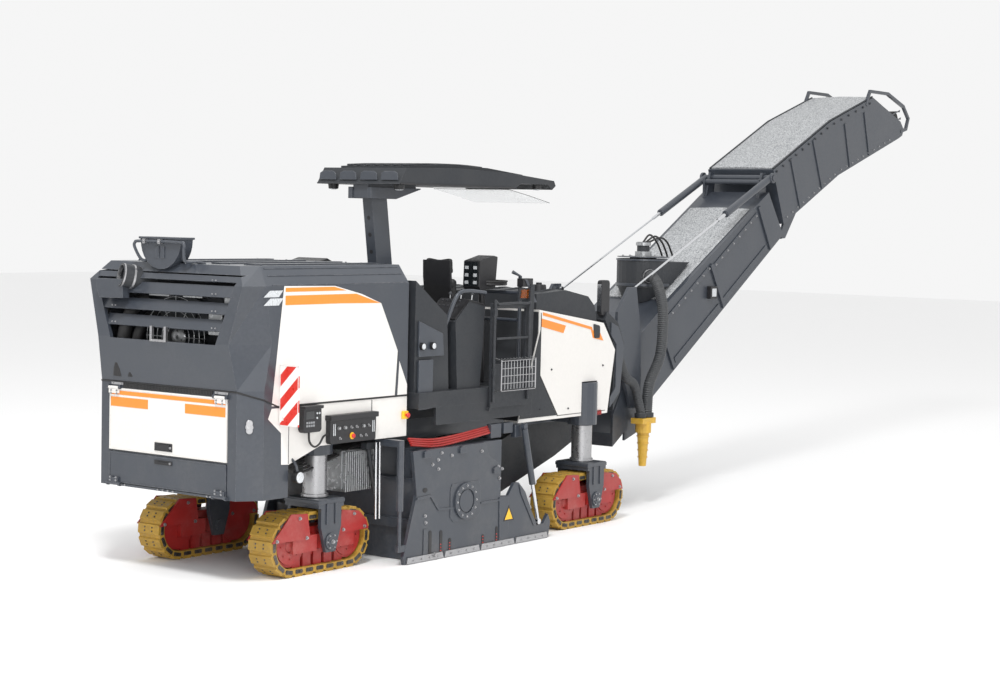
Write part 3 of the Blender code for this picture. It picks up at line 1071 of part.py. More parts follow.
def main():
    clear_scene()
    paints = make_paints()
    root = "machine"
    pivot(root, (0, 0, 0))
    bpy.data.objects[root].location = (SHIFT_X, 0, 0)
    for end, x, gauge in (("rear", REAR_LEG_X, REAR_GAUGE), ("front", FRONT_LEG_X, FRONT_GAUGE)):
        crawler(f"{end}_right", x, -gauge, paints, root)
        crawler(f"{end}_left", x, gauge, paints, root)
    main_frame(paints, root)
    rear_body(paints, root)
    tail_doors(paints, root)
    engine_hood(paints, root)
    cooling(paints, root)
    milling_unit(paints, root)
    side_plate("right", paints, root)
    side_plate("left", paints, root)
    side_covers(paints, root)
    front_hood(paints, root)
    platform(paints, root)
    canopy(paints, root)
    front_bulkhead(paints, root)
    pickup_conveyor(paints, root)
    slew_foot(paints, root)
    lower_boom(paints, root)
    upper_boom(paints, root)
    pull_gear(paints, root)
    fold_gear(paints, root)
    dust_extraction(paints, root)
    exhaust_and_panels(paints, root)


main()
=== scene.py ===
# %% [markdown]
# # Cold planer: the looks
# This lesson dresses a cold planer, the crawler machine that mills old road
# surfacing away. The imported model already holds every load-carrying piece and
# every joint. What follows adds finishes, fittings and trim around that frame,
# each riding on the body that carries it, so that the machine still moves.

# %% Load the frame
from math import atan2, cos, hypot, pi, radians, sin

import bmesh
import bpy
from mathutils import Matrix, Vector


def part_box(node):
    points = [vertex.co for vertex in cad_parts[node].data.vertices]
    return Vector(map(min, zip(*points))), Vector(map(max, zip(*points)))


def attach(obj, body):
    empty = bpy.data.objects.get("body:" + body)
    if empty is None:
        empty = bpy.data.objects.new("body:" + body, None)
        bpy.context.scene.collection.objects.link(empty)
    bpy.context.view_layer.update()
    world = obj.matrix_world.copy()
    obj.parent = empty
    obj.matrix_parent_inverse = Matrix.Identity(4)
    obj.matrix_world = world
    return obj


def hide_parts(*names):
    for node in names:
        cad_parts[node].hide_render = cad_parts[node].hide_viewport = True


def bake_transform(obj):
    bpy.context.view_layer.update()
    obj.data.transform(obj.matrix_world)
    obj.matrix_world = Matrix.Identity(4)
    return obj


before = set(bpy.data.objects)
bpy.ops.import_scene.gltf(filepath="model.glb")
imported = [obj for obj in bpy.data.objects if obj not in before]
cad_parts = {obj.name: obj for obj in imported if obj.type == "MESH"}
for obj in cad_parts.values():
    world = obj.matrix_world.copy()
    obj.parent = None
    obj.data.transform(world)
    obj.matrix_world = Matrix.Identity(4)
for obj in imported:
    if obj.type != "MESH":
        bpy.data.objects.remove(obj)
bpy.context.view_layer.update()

# %% [markdown]
# ## Places
# The machine's natural datum is the milling drum: everything is measured from
# the drum's axis along the machine, from the centre line across it, and from
# the ground up. One offset turns those measures into the frame's own.

# %% Datum
drum_low, drum_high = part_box("milling_drum")
DRUM_X = (drum_low[0] + drum_high[0]) / 2


def at(x, y, z):
    return Vector((x + DRUM_X, y, z))


print("drum axis at x =", round(DRUM_X, 3))

# %% [markdown]
# ## Camera
# The view is from behind the right-hand side, a little above eye level and
# with a long lens, so that upright edges stay upright and the conveyor runs
# away to the right.

# %% Camera
CAMERA_PLACE = at(-14.698, -12.392, 3.108)
CAMERA_TURN = radians(53.35)     # from straight ahead across the machine, towards its front
CAMERA_DIP = radians(3.459)
CAMERA_ROLL = radians(1.226)
CAMERA_LENS = 73.58

ahead = Vector((sin(CAMERA_TURN) * cos(CAMERA_DIP), cos(CAMERA_TURN) * cos(CAMERA_DIP), -sin(CAMERA_DIP)))
level = Vector((cos(CAMERA_TURN), -sin(CAMERA_TURN), 0))
upward = level.cross(ahead)
right = level * cos(CAMERA_ROLL) + upward * sin(CAMERA_ROLL)
top = -level * sin(CAMERA_ROLL) + upward * cos(CAMERA_ROLL)
camera_data = bpy.data.cameras.new("camera")
camera_data.lens = CAMERA_LENS
camera_data.sensor_width = 36.0
camera_data.clip_end = 200.0
camera = bpy.data.objects.new("camera", camera_data)
bpy.context.scene.collection.objects.link(camera)
turn = Matrix((right, top, -ahead)).transposed().to_4x4()
camera.matrix_world = Matrix.Translation(CAMERA_PLACE) @ turn
bpy.context.scene.camera = camera
print("camera at", [round(v, 2) for v in CAMERA_PLACE])

# %% [markdown]
# ## Studio
# Bright, almost shadowless daylight: a white surround, one large soft lamp
# high at the rear left that throws the long shadow towards the front, and a
# weaker one from the viewer's side. The floor is a plain pale sheet.

# %% Floor and lamps
FLOOR_SIZE = 60.0
floor_mesh = bpy.data.meshes.new("floor")
floor_mesh.from_pydata([(-FLOOR_SIZE, -FLOOR_SIZE, 0), (FLOOR_SIZE, -FLOOR_SIZE, 0),
                        (FLOOR_SIZE, FLOOR_SIZE, 0), (-FLOOR_SIZE, FLOOR_SIZE, 0)], [], [(0, 1, 2, 3)])
floor = bpy.data.objects.new("floor", floor_mesh)
bpy.context.scene.collection.objects.link(floor)
floor_paint = bpy.data.materials.new("floor")
floor_paint.use_nodes = True
floor_paint.node_tree.nodes["Principled BSDF"].inputs["Base Color"].default_value = (0.92, 0.92, 0.92, 1)
floor_paint.node_tree.nodes["Principled BSDF"].inputs["Roughness"].default_value = 0.9
floor_mesh.materials.append(floor_paint)

world = bpy.data.worlds.new("studio")
world.use_nodes = True
world.node_tree.nodes["Background"].inputs["Color"].default_value = (1.0, 1.0, 1.0, 1)
world.node_tree.nodes["Background"].inputs["Strength"].default_value = 0.92
bpy.context.scene.world = world
bpy.context.scene.view_settings.view_transform = "Standard"


def soft_lamp(name, place, target, size, power):
    lamp_data = bpy.data.lights.new(name, "AREA")
    lamp_data.size = size
    lamp_data.energy = power
    lamp = bpy.data.objects.new(name, lamp_data)
    lamp.location = place
    lamp.rotation_euler = (target - Vector(place)).to_track_quat("-Z", "Y").to_euler()
    bpy.context.scene.collection.objects.link(lamp)


soft_lamp("key", at(-8.0, -5.0, 13.0), at(1.5, 0, 1), 2.5, 1300)
soft_lamp("sky", at(3.0, -3.0, 16.0), at(3.0, 0, 0), 12.0, 500)
soft_lamp("fill", at(-12.0, -14.0, 5.0), at(1, 0, 1.5), 6.0, 500)
print("studio: 3 lamps")

# %% [markdown]
# ## Shared surface effects
# Real finishes are never one colour: dust settles unevenly, paint rubs thin on
# edges, castings are rough. Each of those effects is a node group made once,
# with its own amounts wherever it is used. A group hands back colours, masks
# and values only. The shader stays in the material.

# %% Group helpers
def new_group(name, inputs, outputs):
    group = bpy.data.node_groups.new(name, "ShaderNodeTree")
    for label, kind, value in inputs:
        socket = group.interface.new_socket(label, in_out="INPUT", socket_type=kind)
        socket.default_value = value
    for label, kind in outputs:
        group.interface.new_socket(label, in_out="OUTPUT", socket_type=kind)
    return group, group.nodes.new("NodeGroupInput"), group.nodes.new("NodeGroupOutput")


def add_node(tree, kind, links=(), **settings):
    node = tree.nodes.new(kind)
    for key, value in settings.items():
        setattr(node, key, value)
    for socket, source in links:
        if hasattr(source, "links"):
            tree.links.new(source, node.inputs[socket])
        else:
            node.inputs[socket].default_value = source
    return node


COLOUR, VALUE = "NodeSocketColor", "NodeSocketFloat"


def place_of(tree):
    """Position on the part, which stays with the metal because pieces keep their own axes."""
    return tree.nodes.new("ShaderNodeTexCoord").outputs["Object"]


# %% Dust and mottle group
def build_weather():
    """Soft mottling of a paint, with dust that lies thicker low down and in patches."""
    group, given, out = new_group(
        "weather", [("Colour", COLOUR, (0.5, 0.5, 0.5, 1)), ("Dust Colour", COLOUR, (0.36, 0.33, 0.29, 1)),
                    ("Dust", VALUE, 0.1), ("Mottle", VALUE, 0.06), ("Roughness", VALUE, 0.4)],
        [("Colour", COLOUR), ("Roughness", VALUE), ("Height", VALUE)])
    where = place_of(group)
    wide = add_node(group, "ShaderNodeTexNoise", [("Vector", where), ("Scale", 2.3), ("Detail", 6.0),
                                                  ("Roughness", 0.62)])
    fine = add_node(group, "ShaderNodeTexNoise", [("Vector", where), ("Scale", 34.0), ("Detail", 5.0)])
    peel = add_node(group, "ShaderNodeTexNoise", [("Vector", where), ("Scale", 260.0), ("Detail", 1.0)])
    apart = add_node(group, "ShaderNodeSeparateXYZ", [("Vector", where)])
    low = add_node(group, "ShaderNodeMapRange", [("Value", apart.outputs["Z"]), ("From Min", 0.0),
                                                 ("From Max", 1.4), ("To Min", 1.0), ("To Max", 0.30)])
    patch = add_node(group, "ShaderNodeMapRange", [("Value", wide.outputs["Fac"]), ("From Min", 0.42),
                                                   ("From Max", 0.72)])
    grains = add_node(group, "ShaderNodeMapRange", [("Value", fine.outputs["Fac"]), ("From Min", 0.35),
                                                    ("From Max", 0.75), ("To Min", 0.35), ("To Max", 1.0)])
    both = add_node(group, "ShaderNodeMath", [(0, patch.outputs["Result"]), (1, grains.outputs["Result"])],
                    operation="MULTIPLY")
    spread = add_node(group, "ShaderNodeMath", [(0, both.outputs[0]), (1, low.outputs["Result"])],
                      operation="MULTIPLY")
    dust = add_node(group, "ShaderNodeMath", [(0, spread.outputs[0]), (1, given.outputs["Dust"])],
                    operation="MULTIPLY", use_clamp=True)
    shade = add_node(group, "ShaderNodeMapRange", [("Value", fine.outputs["Fac"]), ("From Min", 0.3),
                                                   ("From Max", 0.7), ("To Min", -0.5), ("To Max", 0.5)])
    change = add_node(group, "ShaderNodeMath", [(0, shade.outputs["Result"]), (1, given.outputs["Mottle"])],
                      operation="MULTIPLY")
    level_up = add_node(group, "ShaderNodeMath", [(0, change.outputs[0]), (1, 1.0)], operation="ADD")
    varied = add_node(group, "ShaderNodeHueSaturation", [("Value", level_up.outputs[0]),
                                                         ("Color", given.outputs["Colour"])])
    mixed = add_node(group, "ShaderNodeMix", [(0, dust.outputs[0]), (6, varied.outputs["Color"]),
                                              (7, given.outputs["Dust Colour"])], data_type="RGBA")
    rough = add_node(group, "ShaderNodeMath", [(0, dust.outputs[0]), (1, 0.45),
                                               (2, given.outputs["Roughness"])],
                     operation="MULTIPLY_ADD")
    rough_two = add_node(group, "ShaderNodeMath", [(0, change.outputs[0]), (1, 1.5), (2, rough.outputs[0])],
                         operation="MULTIPLY_ADD", use_clamp=True)
    group.links.new(mixed.outputs[2], out.inputs["Colour"])
    group.links.new(rough_two.outputs[0], out.inputs["Roughness"])
    group.links.new(peel.outputs["Fac"], out.inputs["Height"])
    return group


# %% Edge rub group
def build_edge_rub():
    """Mask of outer edges, where boots, tools and stones rub the paint thin."""
    group, given, out = new_group("edge_rub", [("Width", VALUE, 0.006), ("Amount", VALUE, 0.5)],
                                  [("Mask", VALUE)])
    rounded = add_node(group, "ShaderNodeBevel", [("Radius", given.outputs["Width"])], samples=3)
    plain = group.nodes.new("ShaderNodeNewGeometry")
    match = add_node(group, "ShaderNodeVectorMath",
                     [(0, rounded.outputs["Normal"]), (1, plain.outputs["Normal"])],
                     operation="DOT_PRODUCT")
    bare = add_node(group, "ShaderNodeMapRange", [("Value", match.outputs["Value"]), ("From Min", 0.995),
                                                  ("From Max", 0.93)])
    chips = add_node(group, "ShaderNodeTexNoise",
                     [("Vector", place_of(group)), ("Scale", 19.0), ("Detail", 8.0),
                                                   ("Roughness", 0.7)])
    broken = add_node(group, "ShaderNodeMapRange", [("Value", chips.outputs["Fac"]), ("From Min", 0.44),
                                                    ("From Max", 0.60)])
    both = add_node(group, "ShaderNodeMath", [(0, bare.outputs["Result"]), (1, broken.outputs["Result"])],
                    operation="MULTIPLY")
    mask = add_node(group, "ShaderNodeMath", [(0, both.outputs[0]), (1, given.outputs["Amount"])],
                    operation="MULTIPLY", use_clamp=True)
    group.links.new(mask.outputs[0], out.inputs["Mask"])
    return group


# %% Speckle and slanted stripe groups
def build_speckle():
    """Fine light and dark chips, as in a crushed-stone coating."""
    group, given, out = new_group("speckle", [("Scale", VALUE, 150.0)], [("Mask", VALUE)])
    chips = add_node(group, "ShaderNodeTexVoronoi",
                     [("Vector", place_of(group)), ("Scale", given.outputs["Scale"])])
    tone = add_node(group, "ShaderNodeSeparateColor", [("Color", chips.outputs["Color"])])
    group.links.new(tone.outputs[0], out.inputs["Mask"])
    return group


def build_slant():
    """Stripes at 45 degrees across the machine: 1 on a stripe, 0 between."""
    group, given, out = new_group("slant_stripes", [("Pitch", VALUE, 0.14), ("Shift", VALUE, 0.0)],
                                  [("Mask", VALUE)])
    apart = add_node(group, "ShaderNodeSeparateXYZ", [("Vector", place_of(group))])
    total = add_node(group, "ShaderNodeMath", [(0, apart.outputs["Y"]), (1, apart.outputs["Z"])],
                     operation="ADD")
    moved = add_node(group, "ShaderNodeMath", [(0, total.outputs[0]), (1, given.outputs["Shift"])],
                     operation="ADD")
    turns = add_node(group, "ShaderNodeMath", [(0, moved.outputs[0]), (1, given.outputs["Pitch"])],
                     operation="DIVIDE")
    part = add_node(group, "ShaderNodeMath", [(0, turns.outputs[0])], operation="FRACT")
    on = add_node(group, "ShaderNodeMath", [(0, part.outputs[0]), (1, 0.5)], operation="GREATER_THAN")
    group.links.new(on.outputs[0], out.inputs["Mask"])
    return group


WEATHER = build_weather()
EDGE_RUB = build_edge_rub()
SPECKLE = build_speckle()
SLANT = build_slant()
print("node groups:", [g.name for g in (WEATHER, EDGE_RUB, SPECKLE, SLANT)])

# %% [markdown]
# ## Finishes
# One function mixes a finish from the shared groups: the colour goes through
# the weather group, edges are rubbed back to a second colour, and the paint's
# fine peel becomes bump. Anything that is the same all over, such as a clear
# coat, is set on the shader's own socket.

# %% Finish maker
FINISHES = {}


def finish(name, colour, roughness=0.4, metallic=0.0, dust=0.2, mottle=0.10, peel=0.15, rub=0.0,
           rub_colour=(0.30, 0.30, 0.31), coat=0.0, dust_colour=(0.36, 0.33, 0.29), specular=0.5):
    made = bpy.data.materials.new(name)
    made.use_nodes = True
    tree = made.node_tree
    shader = tree.nodes["Principled BSDF"]
    weather = add_node(tree, "ShaderNodeGroup", node_tree=WEATHER)
    weather.inputs["Colour"].default_value = (*colour, 1)
    weather.inputs["Dust Colour"].default_value = (*dust_colour, 1)
    weather.inputs["Dust"].default_value = dust
    weather.inputs["Mottle"].default_value = mottle
    weather.inputs["Roughness"].default_value = roughness
    shown = weather.outputs["Colour"]
    if rub:
        edge = add_node(tree, "ShaderNodeGroup", node_tree=EDGE_RUB)
        edge.inputs["Amount"].default_value = rub
        worn = add_node(tree, "ShaderNodeMix", [(0, edge.outputs["Mask"]), (6, shown), (7, (*rub_colour, 1))],
                        data_type="RGBA")
        shown = worn.outputs[2]
    tree.links.new(shown, shader.inputs["Base Color"])
    tree.links.new(weather.outputs["Roughness"], shader.inputs["Roughness"])
    if peel:
        bump = add_node(tree, "ShaderNodeBump", [("Strength", peel), ("Distance", 0.001),
                                                 ("Height", weather.outputs["Height"])])
        tree.links.new(bump.outputs["Normal"], shader.inputs["Normal"])
    shader.inputs["Metallic"].default_value = metallic
    shader.inputs["Coat Weight"].default_value = coat
    shader.inputs["Coat Roughness"].default_value = 0.12
    shader.inputs["Specular IOR Level"].default_value = specular
    made.diffuse_color = (*colour, 1)
    FINISHES[name] = made
    return made


# %% The machine's finishes
ANTHRACITE = finish("anthracite", (0.040, 0.047, 0.060), 0.36, dust=0.16, rub=0.35, coat=0.25)
DARK = finish("dark_coating", (0.020, 0.023, 0.028), 0.55, dust=0.16, peel=0.5, rub=0.25)
WHITE = finish("white_paint", (0.74, 0.72, 0.69), 0.30, dust=0.10, mottle=0.03, rub=0.2,
               rub_colour=(0.45, 0.44, 0.43), coat=0.4)
ORANGE = finish("orange_stripe", (0.82, 0.25, 0.020), 0.32, dust=0.08, mottle=0.04, coat=0.3)
RED = finish("red_plate", (0.36, 0.018, 0.016), 0.42, dust=0.45, rub=0.5, rub_colour=(0.22, 0.08, 0.06))
OCHRE = finish("ochre_pad", (0.43, 0.255, 0.035), 0.62, dust=0.5, mottle=0.35, peel=0.6, rub=0.6,
               rub_colour=(0.60, 0.42, 0.12), dust_colour=(0.22, 0.16, 0.09))
CHAIN = finish("chain_steel", (0.060, 0.055, 0.050), 0.5, 0.7, dust=0.6, mottle=0.3, rub=0.6,
               rub_colour=(0.35, 0.33, 0.31))
CHROME = finish("chrome_rod", (0.72, 0.73, 0.75), 0.12, 1.0, dust=0.10, mottle=0.05, peel=0.0)
STEEL = finish("bright_steel", (0.42, 0.42, 0.43), 0.34, 0.9, dust=0.2, mottle=0.15)
IRON = finish("cast_iron", (0.085, 0.085, 0.088), 0.55, 0.55, dust=0.4, mottle=0.3, peel=0.8, rub=0.6)
RUBBER = finish("black_rubber", (0.016, 0.016, 0.017), 0.62, dust=0.25, peel=0.3)
HOSE = finish("ribbed_hose", (0.045, 0.048, 0.052), 0.5, dust=0.2, peel=0.2)
PLASTIC = finish("black_plastic", (0.012, 0.012, 0.014), 0.42, dust=0.10, peel=0.4)
VINYL = finish("seat_vinyl", (0.010, 0.010, 0.011), 0.48, dust=0.06, peel=1.0)
YELLOW = finish("yellow_nozzle", (0.62, 0.37, 0.035), 0.45, dust=0.35, mottle=0.2)
SIGN = finish("sign_yellow", (0.90, 0.52, 0.02), 0.35, dust=0.05, mottle=0.03)
SCREEN = finish("screen_glass", (0.008, 0.010, 0.012), 0.08, dust=0.02, peel=0.0, coat=0.8)
SILVER = finish("reflector_silver", (0.62, 0.64, 0.66), 0.28, 0.3, dust=0.05, mottle=0.05)
GALVANISED = finish("galvanised", (0.40, 0.41, 0.42), 0.42, 0.8, dust=0.2, mottle=0.35)
GREEN_KEY = finish("grey_key", (0.25, 0.26, 0.27), 0.45, dust=0.02)
RED_KEY = finish("red_knob", (0.55, 0.02, 0.015), 0.30, dust=0.02, coat=0.3)


def build_cover_finish():
    """Light belt covers with a fine stony speckle."""
    made = bpy.data.materials.new("speckled_cover")
    made.use_nodes = True
    tree = made.node_tree
    shader = tree.nodes["Principled BSDF"]
    chips = add_node(tree, "ShaderNodeGroup", node_tree=SPECKLE)
    chips.inputs["Scale"].default_value = 95.0
    tone = add_node(tree, "ShaderNodeMix", [(0, chips.outputs["Mask"]), (6, (0.17, 0.18, 0.19, 1)),
                                            (7, (0.50, 0.51, 0.52, 1))], data_type="RGBA")
    weather = add_node(tree, "ShaderNodeGroup", [("Colour", tone.outputs[2])], node_tree=WEATHER)
    weather.inputs["Dust"].default_value = 0.2
    weather.inputs["Roughness"].default_value = 0.5
    tree.links.new(weather.outputs["Colour"], shader.inputs["Base Color"])
    tree.links.new(weather.outputs["Roughness"], shader.inputs["Roughness"])
    bump = add_node(tree, "ShaderNodeBump", [("Strength", 0.4), ("Distance", 0.002),
                                             ("Height", chips.outputs["Mask"])])
    tree.links.new(bump.outputs["Normal"], shader.inputs["Normal"])
    return made


def build_warning_finish():
    """Reflective sheeting in red and white slanted stripes."""
    made = bpy.data.materials.new("warning_stripes")
    made.use_nodes = True
    tree = made.node_tree
    shader = tree.nodes["Principled BSDF"]
    slant = add_node(tree, "ShaderNodeGroup", node_tree=SLANT)
    slant.inputs["Pitch"].default_value = 0.20
    tone = add_node(tree, "ShaderNodeMix", [(0, slant.outputs["Mask"]), (6, (0.80, 0.78, 0.76, 1)),
                                            (7, (0.62, 0.03, 0.02, 1))], data_type="RGBA")
    weather = add_node(tree, "ShaderNodeGroup", [("Colour", tone.outputs[2])], node_tree=WEATHER)
    weather.inputs["Dust"].default_value = 0.15
    weather.inputs["Roughness"].default_value = 0.3
    tree.links.new(weather.outputs["Colour"], shader.inputs["Base Color"])
    tree.links.new(weather.outputs["Roughness"], shader.inputs["Roughness"])
    return made


def build_clear(name, colour, roughness=0.05):
    made = bpy.data.materials.new(name)
    made.use_nodes = True
    shader = made.node_tree.nodes["Principled BSDF"]
    shader.inputs["Base Color"].default_value = (*colour, 1)
    shader.inputs["Roughness"].default_value = roughness
    shader.inputs["Transmission Weight"].default_value = 0.9
    shader.inputs["IOR"].default_value = 1.45
    return made


COVER = build_cover_finish()
WARNING = build_warning_finish()
CLEAR = build_clear("clear_plastic", (0.93, 0.95, 0.96))
AMBER = build_clear("amber_lens", (1.0, 0.30, 0.02), 0.15)
RED_LENS = build_clear("red_lens", (0.75, 0.03, 0.02), 0.15)
print("finishes:", len(FINISHES) + 5)

# %% [markdown]
# ## Finishes for the frame's own pieces
# Most load-carrying pieces already have their true shape, so they keep it and
# only receive a better finish.

# %% Dress the frame
DRESS = {
    "white": (WHITE, "tail_door side_cover front_hood"),
    "dark": (DARK, "radiator cooling_fan tank_lid operator_platform control_console side_gate seat_pedestal "
                   "canopy_roof front_bulkhead pickup_conveyor fan_drum exhaust_pipe"),
    "ochre": (OCHRE, "rear_right_track rear_left_track front_right_track front_left_track"),
    "red": (RED, "rear_right_track_frame rear_left_track_frame "
                 "front_right_track_frame front_left_track_frame"),
    "iron": (IRON, "engine_block milling_drum"),
    "chrome": (CHROME, "plate_cylinder_right_rod plate_cylinder_left_rod fold_cylinder_rod pull_rope"),
    "yellow": (YELLOW, "hose_y_piece"),
    "warning": (WARNING, "warning_panel"),
}


def dress_frame():
    count = 0
    for name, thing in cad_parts.items():
        chosen, best = ANTHRACITE, 0
        for material, starts in DRESS.values():
            for start in starts.split():
                if name.startswith(start) and len(start) > best:
                    chosen, best = material, len(start)
        for slot in thing.material_slots:
            slot.material = chosen
        count += 1
    return count


print("dressed", dress_frame(), "nodes")

# %% [markdown]
# ## A small workshop
# A machine like this is covered in plates, bars, tubes and bolts. Each fitting
# could be a primitive with modifiers, but hundreds of objects are slow to keep
# apart. So a fitting is built as one mesh out of many closed shapes: outlines
# pushed into prisms, rings skinned into lofts, and tubes swept along a route.

# %% Workshop
HAIR = 0.0003           # a fitting stands this far off the face that carries it


def circle(centre, radius, count=16, start=0.0, sweep=2 * pi):
    steps = count if sweep >= 2 * pi else count - 1
    return [(centre[0] + radius * cos(start + sweep * i / steps),
             centre[1] + radius * sin(start + sweep * i / steps))
            for i in range(count)]


def smooth(points, steps=4):
    """Catmull-Rom curve through a few chosen points."""
    pts = [Vector(p) for p in points]
    pts = [2 * pts[0] - pts[1]] + pts + [2 * pts[-1] - pts[-2]]
    out = []
    for i in range(1, len(pts) - 2):
        a, b, c, d = pts[i - 1:i + 3]
        for k in range(steps):
            t = k / steps
            out.append(0.5 * (2 * b + (c - a) * t + (2 * a - 5 * b + 4 * c - d) * t ** 2
                              + (3 * b - a - 3 * c + d) * t ** 3))
    out.append(pts[-2])
    return out


def across(along):
    """Two directions square to a third."""
    side = along.cross(Vector((0, 0, 1)) if abs(along.z) < 0.9 else Vector((1, 0, 0))).normalized()
    return side, side.cross(along).normalized()


class Work:
    """Closed shapes gathered into one mesh, in measures from the drum's axis."""

    def __init__(self):
        self.verts = []
        self.faces = []

    def loft(self, rings, capped=True):
        base, n = len(self.verts), len(rings[0])
        for ring in rings:
            self.verts += [Vector(spot) for spot in ring]
        for level in range(len(rings) - 1):
            row = base + level * n
            self.faces += [(row + i, row + (i + 1) % n, row + n + (i + 1) % n, row + n + i) for i in range(n)]
        if capped:
            self.faces.append(tuple(range(base, base + n)))
            self.faces.append(tuple(range(len(self.verts) - 1, len(self.verts) - n - 1, -1)))
        return self

    def prism(self, outline, axis, low, high):
        rings = []
        for level in (low, high):
            rings.append([{"x": (level, a, b), "y": (a, level, b), "z": (a, b, level)}[axis] for a,
                          b in outline])
        return self.loft(rings)

    def box(self, x, y, z):
        return self.prism([(x[0], y[0]), (x[1], y[0]), (x[1], y[1]), (x[0], y[1])], "z", z[0], z[1])

    def bar(self, start, end, radius, sides=12, end_radius=None):
        start, end = Vector(start), Vector(end)
        side, up = across((end - start).normalized())
        rings = []
        for centre, size in ((start, radius), (end, radius if end_radius is None else end_radius)):
            rings.append([centre + size * (cos(2 * pi * i / sides) * side + sin(2 * pi * i / sides) * up)
                          for i in range(sides)])
        return self.loft(rings)

    def tube(self, route, radius, sides=8, swell=None):
        """Round bar along a route; swell gives a factor on the radius at each point."""
        points = [Vector(p) for p in route]
        rings, side = [], None
        for i, point in enumerate(points):
            along = (points[min(i + 1, len(points) - 1)] - points[max(i - 1, 0)]).normalized()
            if side is None:
                side = across(along)[0]
            side = (side - along * side.dot(along)).normalized()
            up = along.cross(side)
            size = radius * (swell(i) if swell else 1.0)
            rings.append([point + size * (cos(2 * pi * k / sides) * side + sin(2 * pi * k / sides) * up)
                          for k in range(sides)])
        return self.loft(rings)

    def ring(self, centre, along, outer, inner, depth, sides=24):
        """Flat ring or pipe collar."""
        centre, along = Vector(centre), Vector(along).normalized()
        side, up = across(along)
        rings = []
        for size, reach in ((inner, 0), (outer, 0), (outer, depth), (inner, depth), (inner, 0)):
            rings.append([centre + along * reach
                          + size * (cos(2 * pi * i / sides) * side + sin(2 * pi * i / sides) * up)
                          for i in range(sides)])
        return self.loft(rings, capped=False)

    def dome(self, centre, along, radius, height, sides=20, levels=5):
        centre, along = Vector(centre), Vector(along).normalized()
        side, up = across(along)
        rings = []
        for level in range(levels + 1):
            turn = pi / 2 * level / (levels + 0.35)
            rings.append([centre + along * height * sin(turn) + radius * cos(turn)
                          * (cos(2 * pi * i / sides) * side + sin(2 * pi * i / sides) * up)
                          for i in range(sides)])
        return self.loft(rings)

    def bolt(self, centre, along, size=0.016):
        """Hexagon head on a washer; size is across the washer's radius."""
        centre, along = Vector(centre), Vector(along).normalized()
        self.bar(centre, centre + along * size * 0.25, size, 12)
        return self.bar(centre + along * size * 0.2, centre + along * size * 1.0, size * 0.72, 6)

    def mirrored(self):
        """The same shapes on the other side of the centre line."""
        other = Work()
        other.verts = [Vector((v.x, -v.y, v.z)) for v in self.verts]
        other.faces = [tuple(reversed(face)) for face in self.faces]
        return other

    def done(self, name, material, body, bevel=0.0, smooth_below=38):
        mesh = bpy.data.meshes.new(name)
        mesh.from_pydata([v + Vector((DRUM_X, 0, 0)) for v in self.verts], [], self.faces)
        work = bmesh.new()
        work.from_mesh(mesh)
        bmesh.ops.recalc_face_normals(work, faces=work.faces)
        work.to_mesh(mesh)
        work.free()
        mesh.shade_smooth()
        mesh.set_sharp_from_angle(angle=radians(smooth_below))
        mesh.materials.append(material)
        piece = bpy.data.objects.new(name, mesh)
        bpy.context.scene.collection.objects.link(piece)
        if bevel:
            edge = piece.modifiers.new("edge", "BEVEL")
            edge.width = bevel
            edge.segments = 2
            edge.limit_method = "ANGLE"
            edge.angle_limit = radians(40)
            edge.harden_normals = True
        if body:
            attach(piece, body)
        return piece

    def pair(self, name, material, body, bevel=0.0):
        """The piece on the right-hand side and its twin on the left."""
        bodies = body if isinstance(body, tuple) else (body, body)
        self.done(name + "_right", material, bodies[0], bevel)
        self.mirrored().done(name + "_left", material, bodies[1], bevel)


# %% [markdown]
# ## Tail and engine hood
# The hood is one big folded sheet. On the real machine its side carries a
# sprayed white field with two orange stripes; here each colour field is a thin
# plate a millimetre or two proud, so it keeps a crisp edge at any distance.

# %% Measures of the tail and hood
TAIL_X = -2.685
BODY_HALF = 0.93
SEAM_TAIL = 1.612
SEAM_SIDE = 1.482
SKIN = BODY_HALF + 0.0005


def side_field(work, outline, lift=0.002, base=SKIN):
    """Thin plate on the right-hand side wall, from an outline in x and z."""
    return work.prism(outline, "y", -base, -base - lift)


# %% White fields and stripes of the hood
field = Work()
side_field(field, [(-2.28, 2.478), (-1.65, 2.470), (-1.30, 2.395), (-1.04, 2.31), (-0.90, 2.06),
                   (-0.80, 1.88),
                   (-0.83, 1.492), (-2.41, 1.492)])
side_field(field, [(-0.775, 1.79), (-0.664, 1.58), (-0.664, 1.492), (-0.795, 1.492)])
field.pair("hood_white_field", WHITE, "hood")
tail = Work()
side_field(tail, [(-2.452, 1.388), (-2.41, 1.472), (-2.201, 1.472), (-2.201, 0.994), (-2.288, 1.000),
                  (-2.294, 1.262)])
tail.pair("cover_white_tail", WHITE, "machine")
stripes = Work()
side_field(stripes, [(-2.265, 2.463), (-1.66, 2.463), (-1.50, 2.429), (-2.265, 2.429)], 0.0012, SKIN + 0.002)
side_field(stripes, [(-2.265, 2.399), (-1.375, 2.399), (-1.05, 2.312), (-1.56, 2.320), (-2.265, 2.320)],
           0.0012,
           SKIN + 0.002)
stripes.pair("hood_orange_stripes", ORANGE, "hood")
print("colour fields on both sides of the hood")

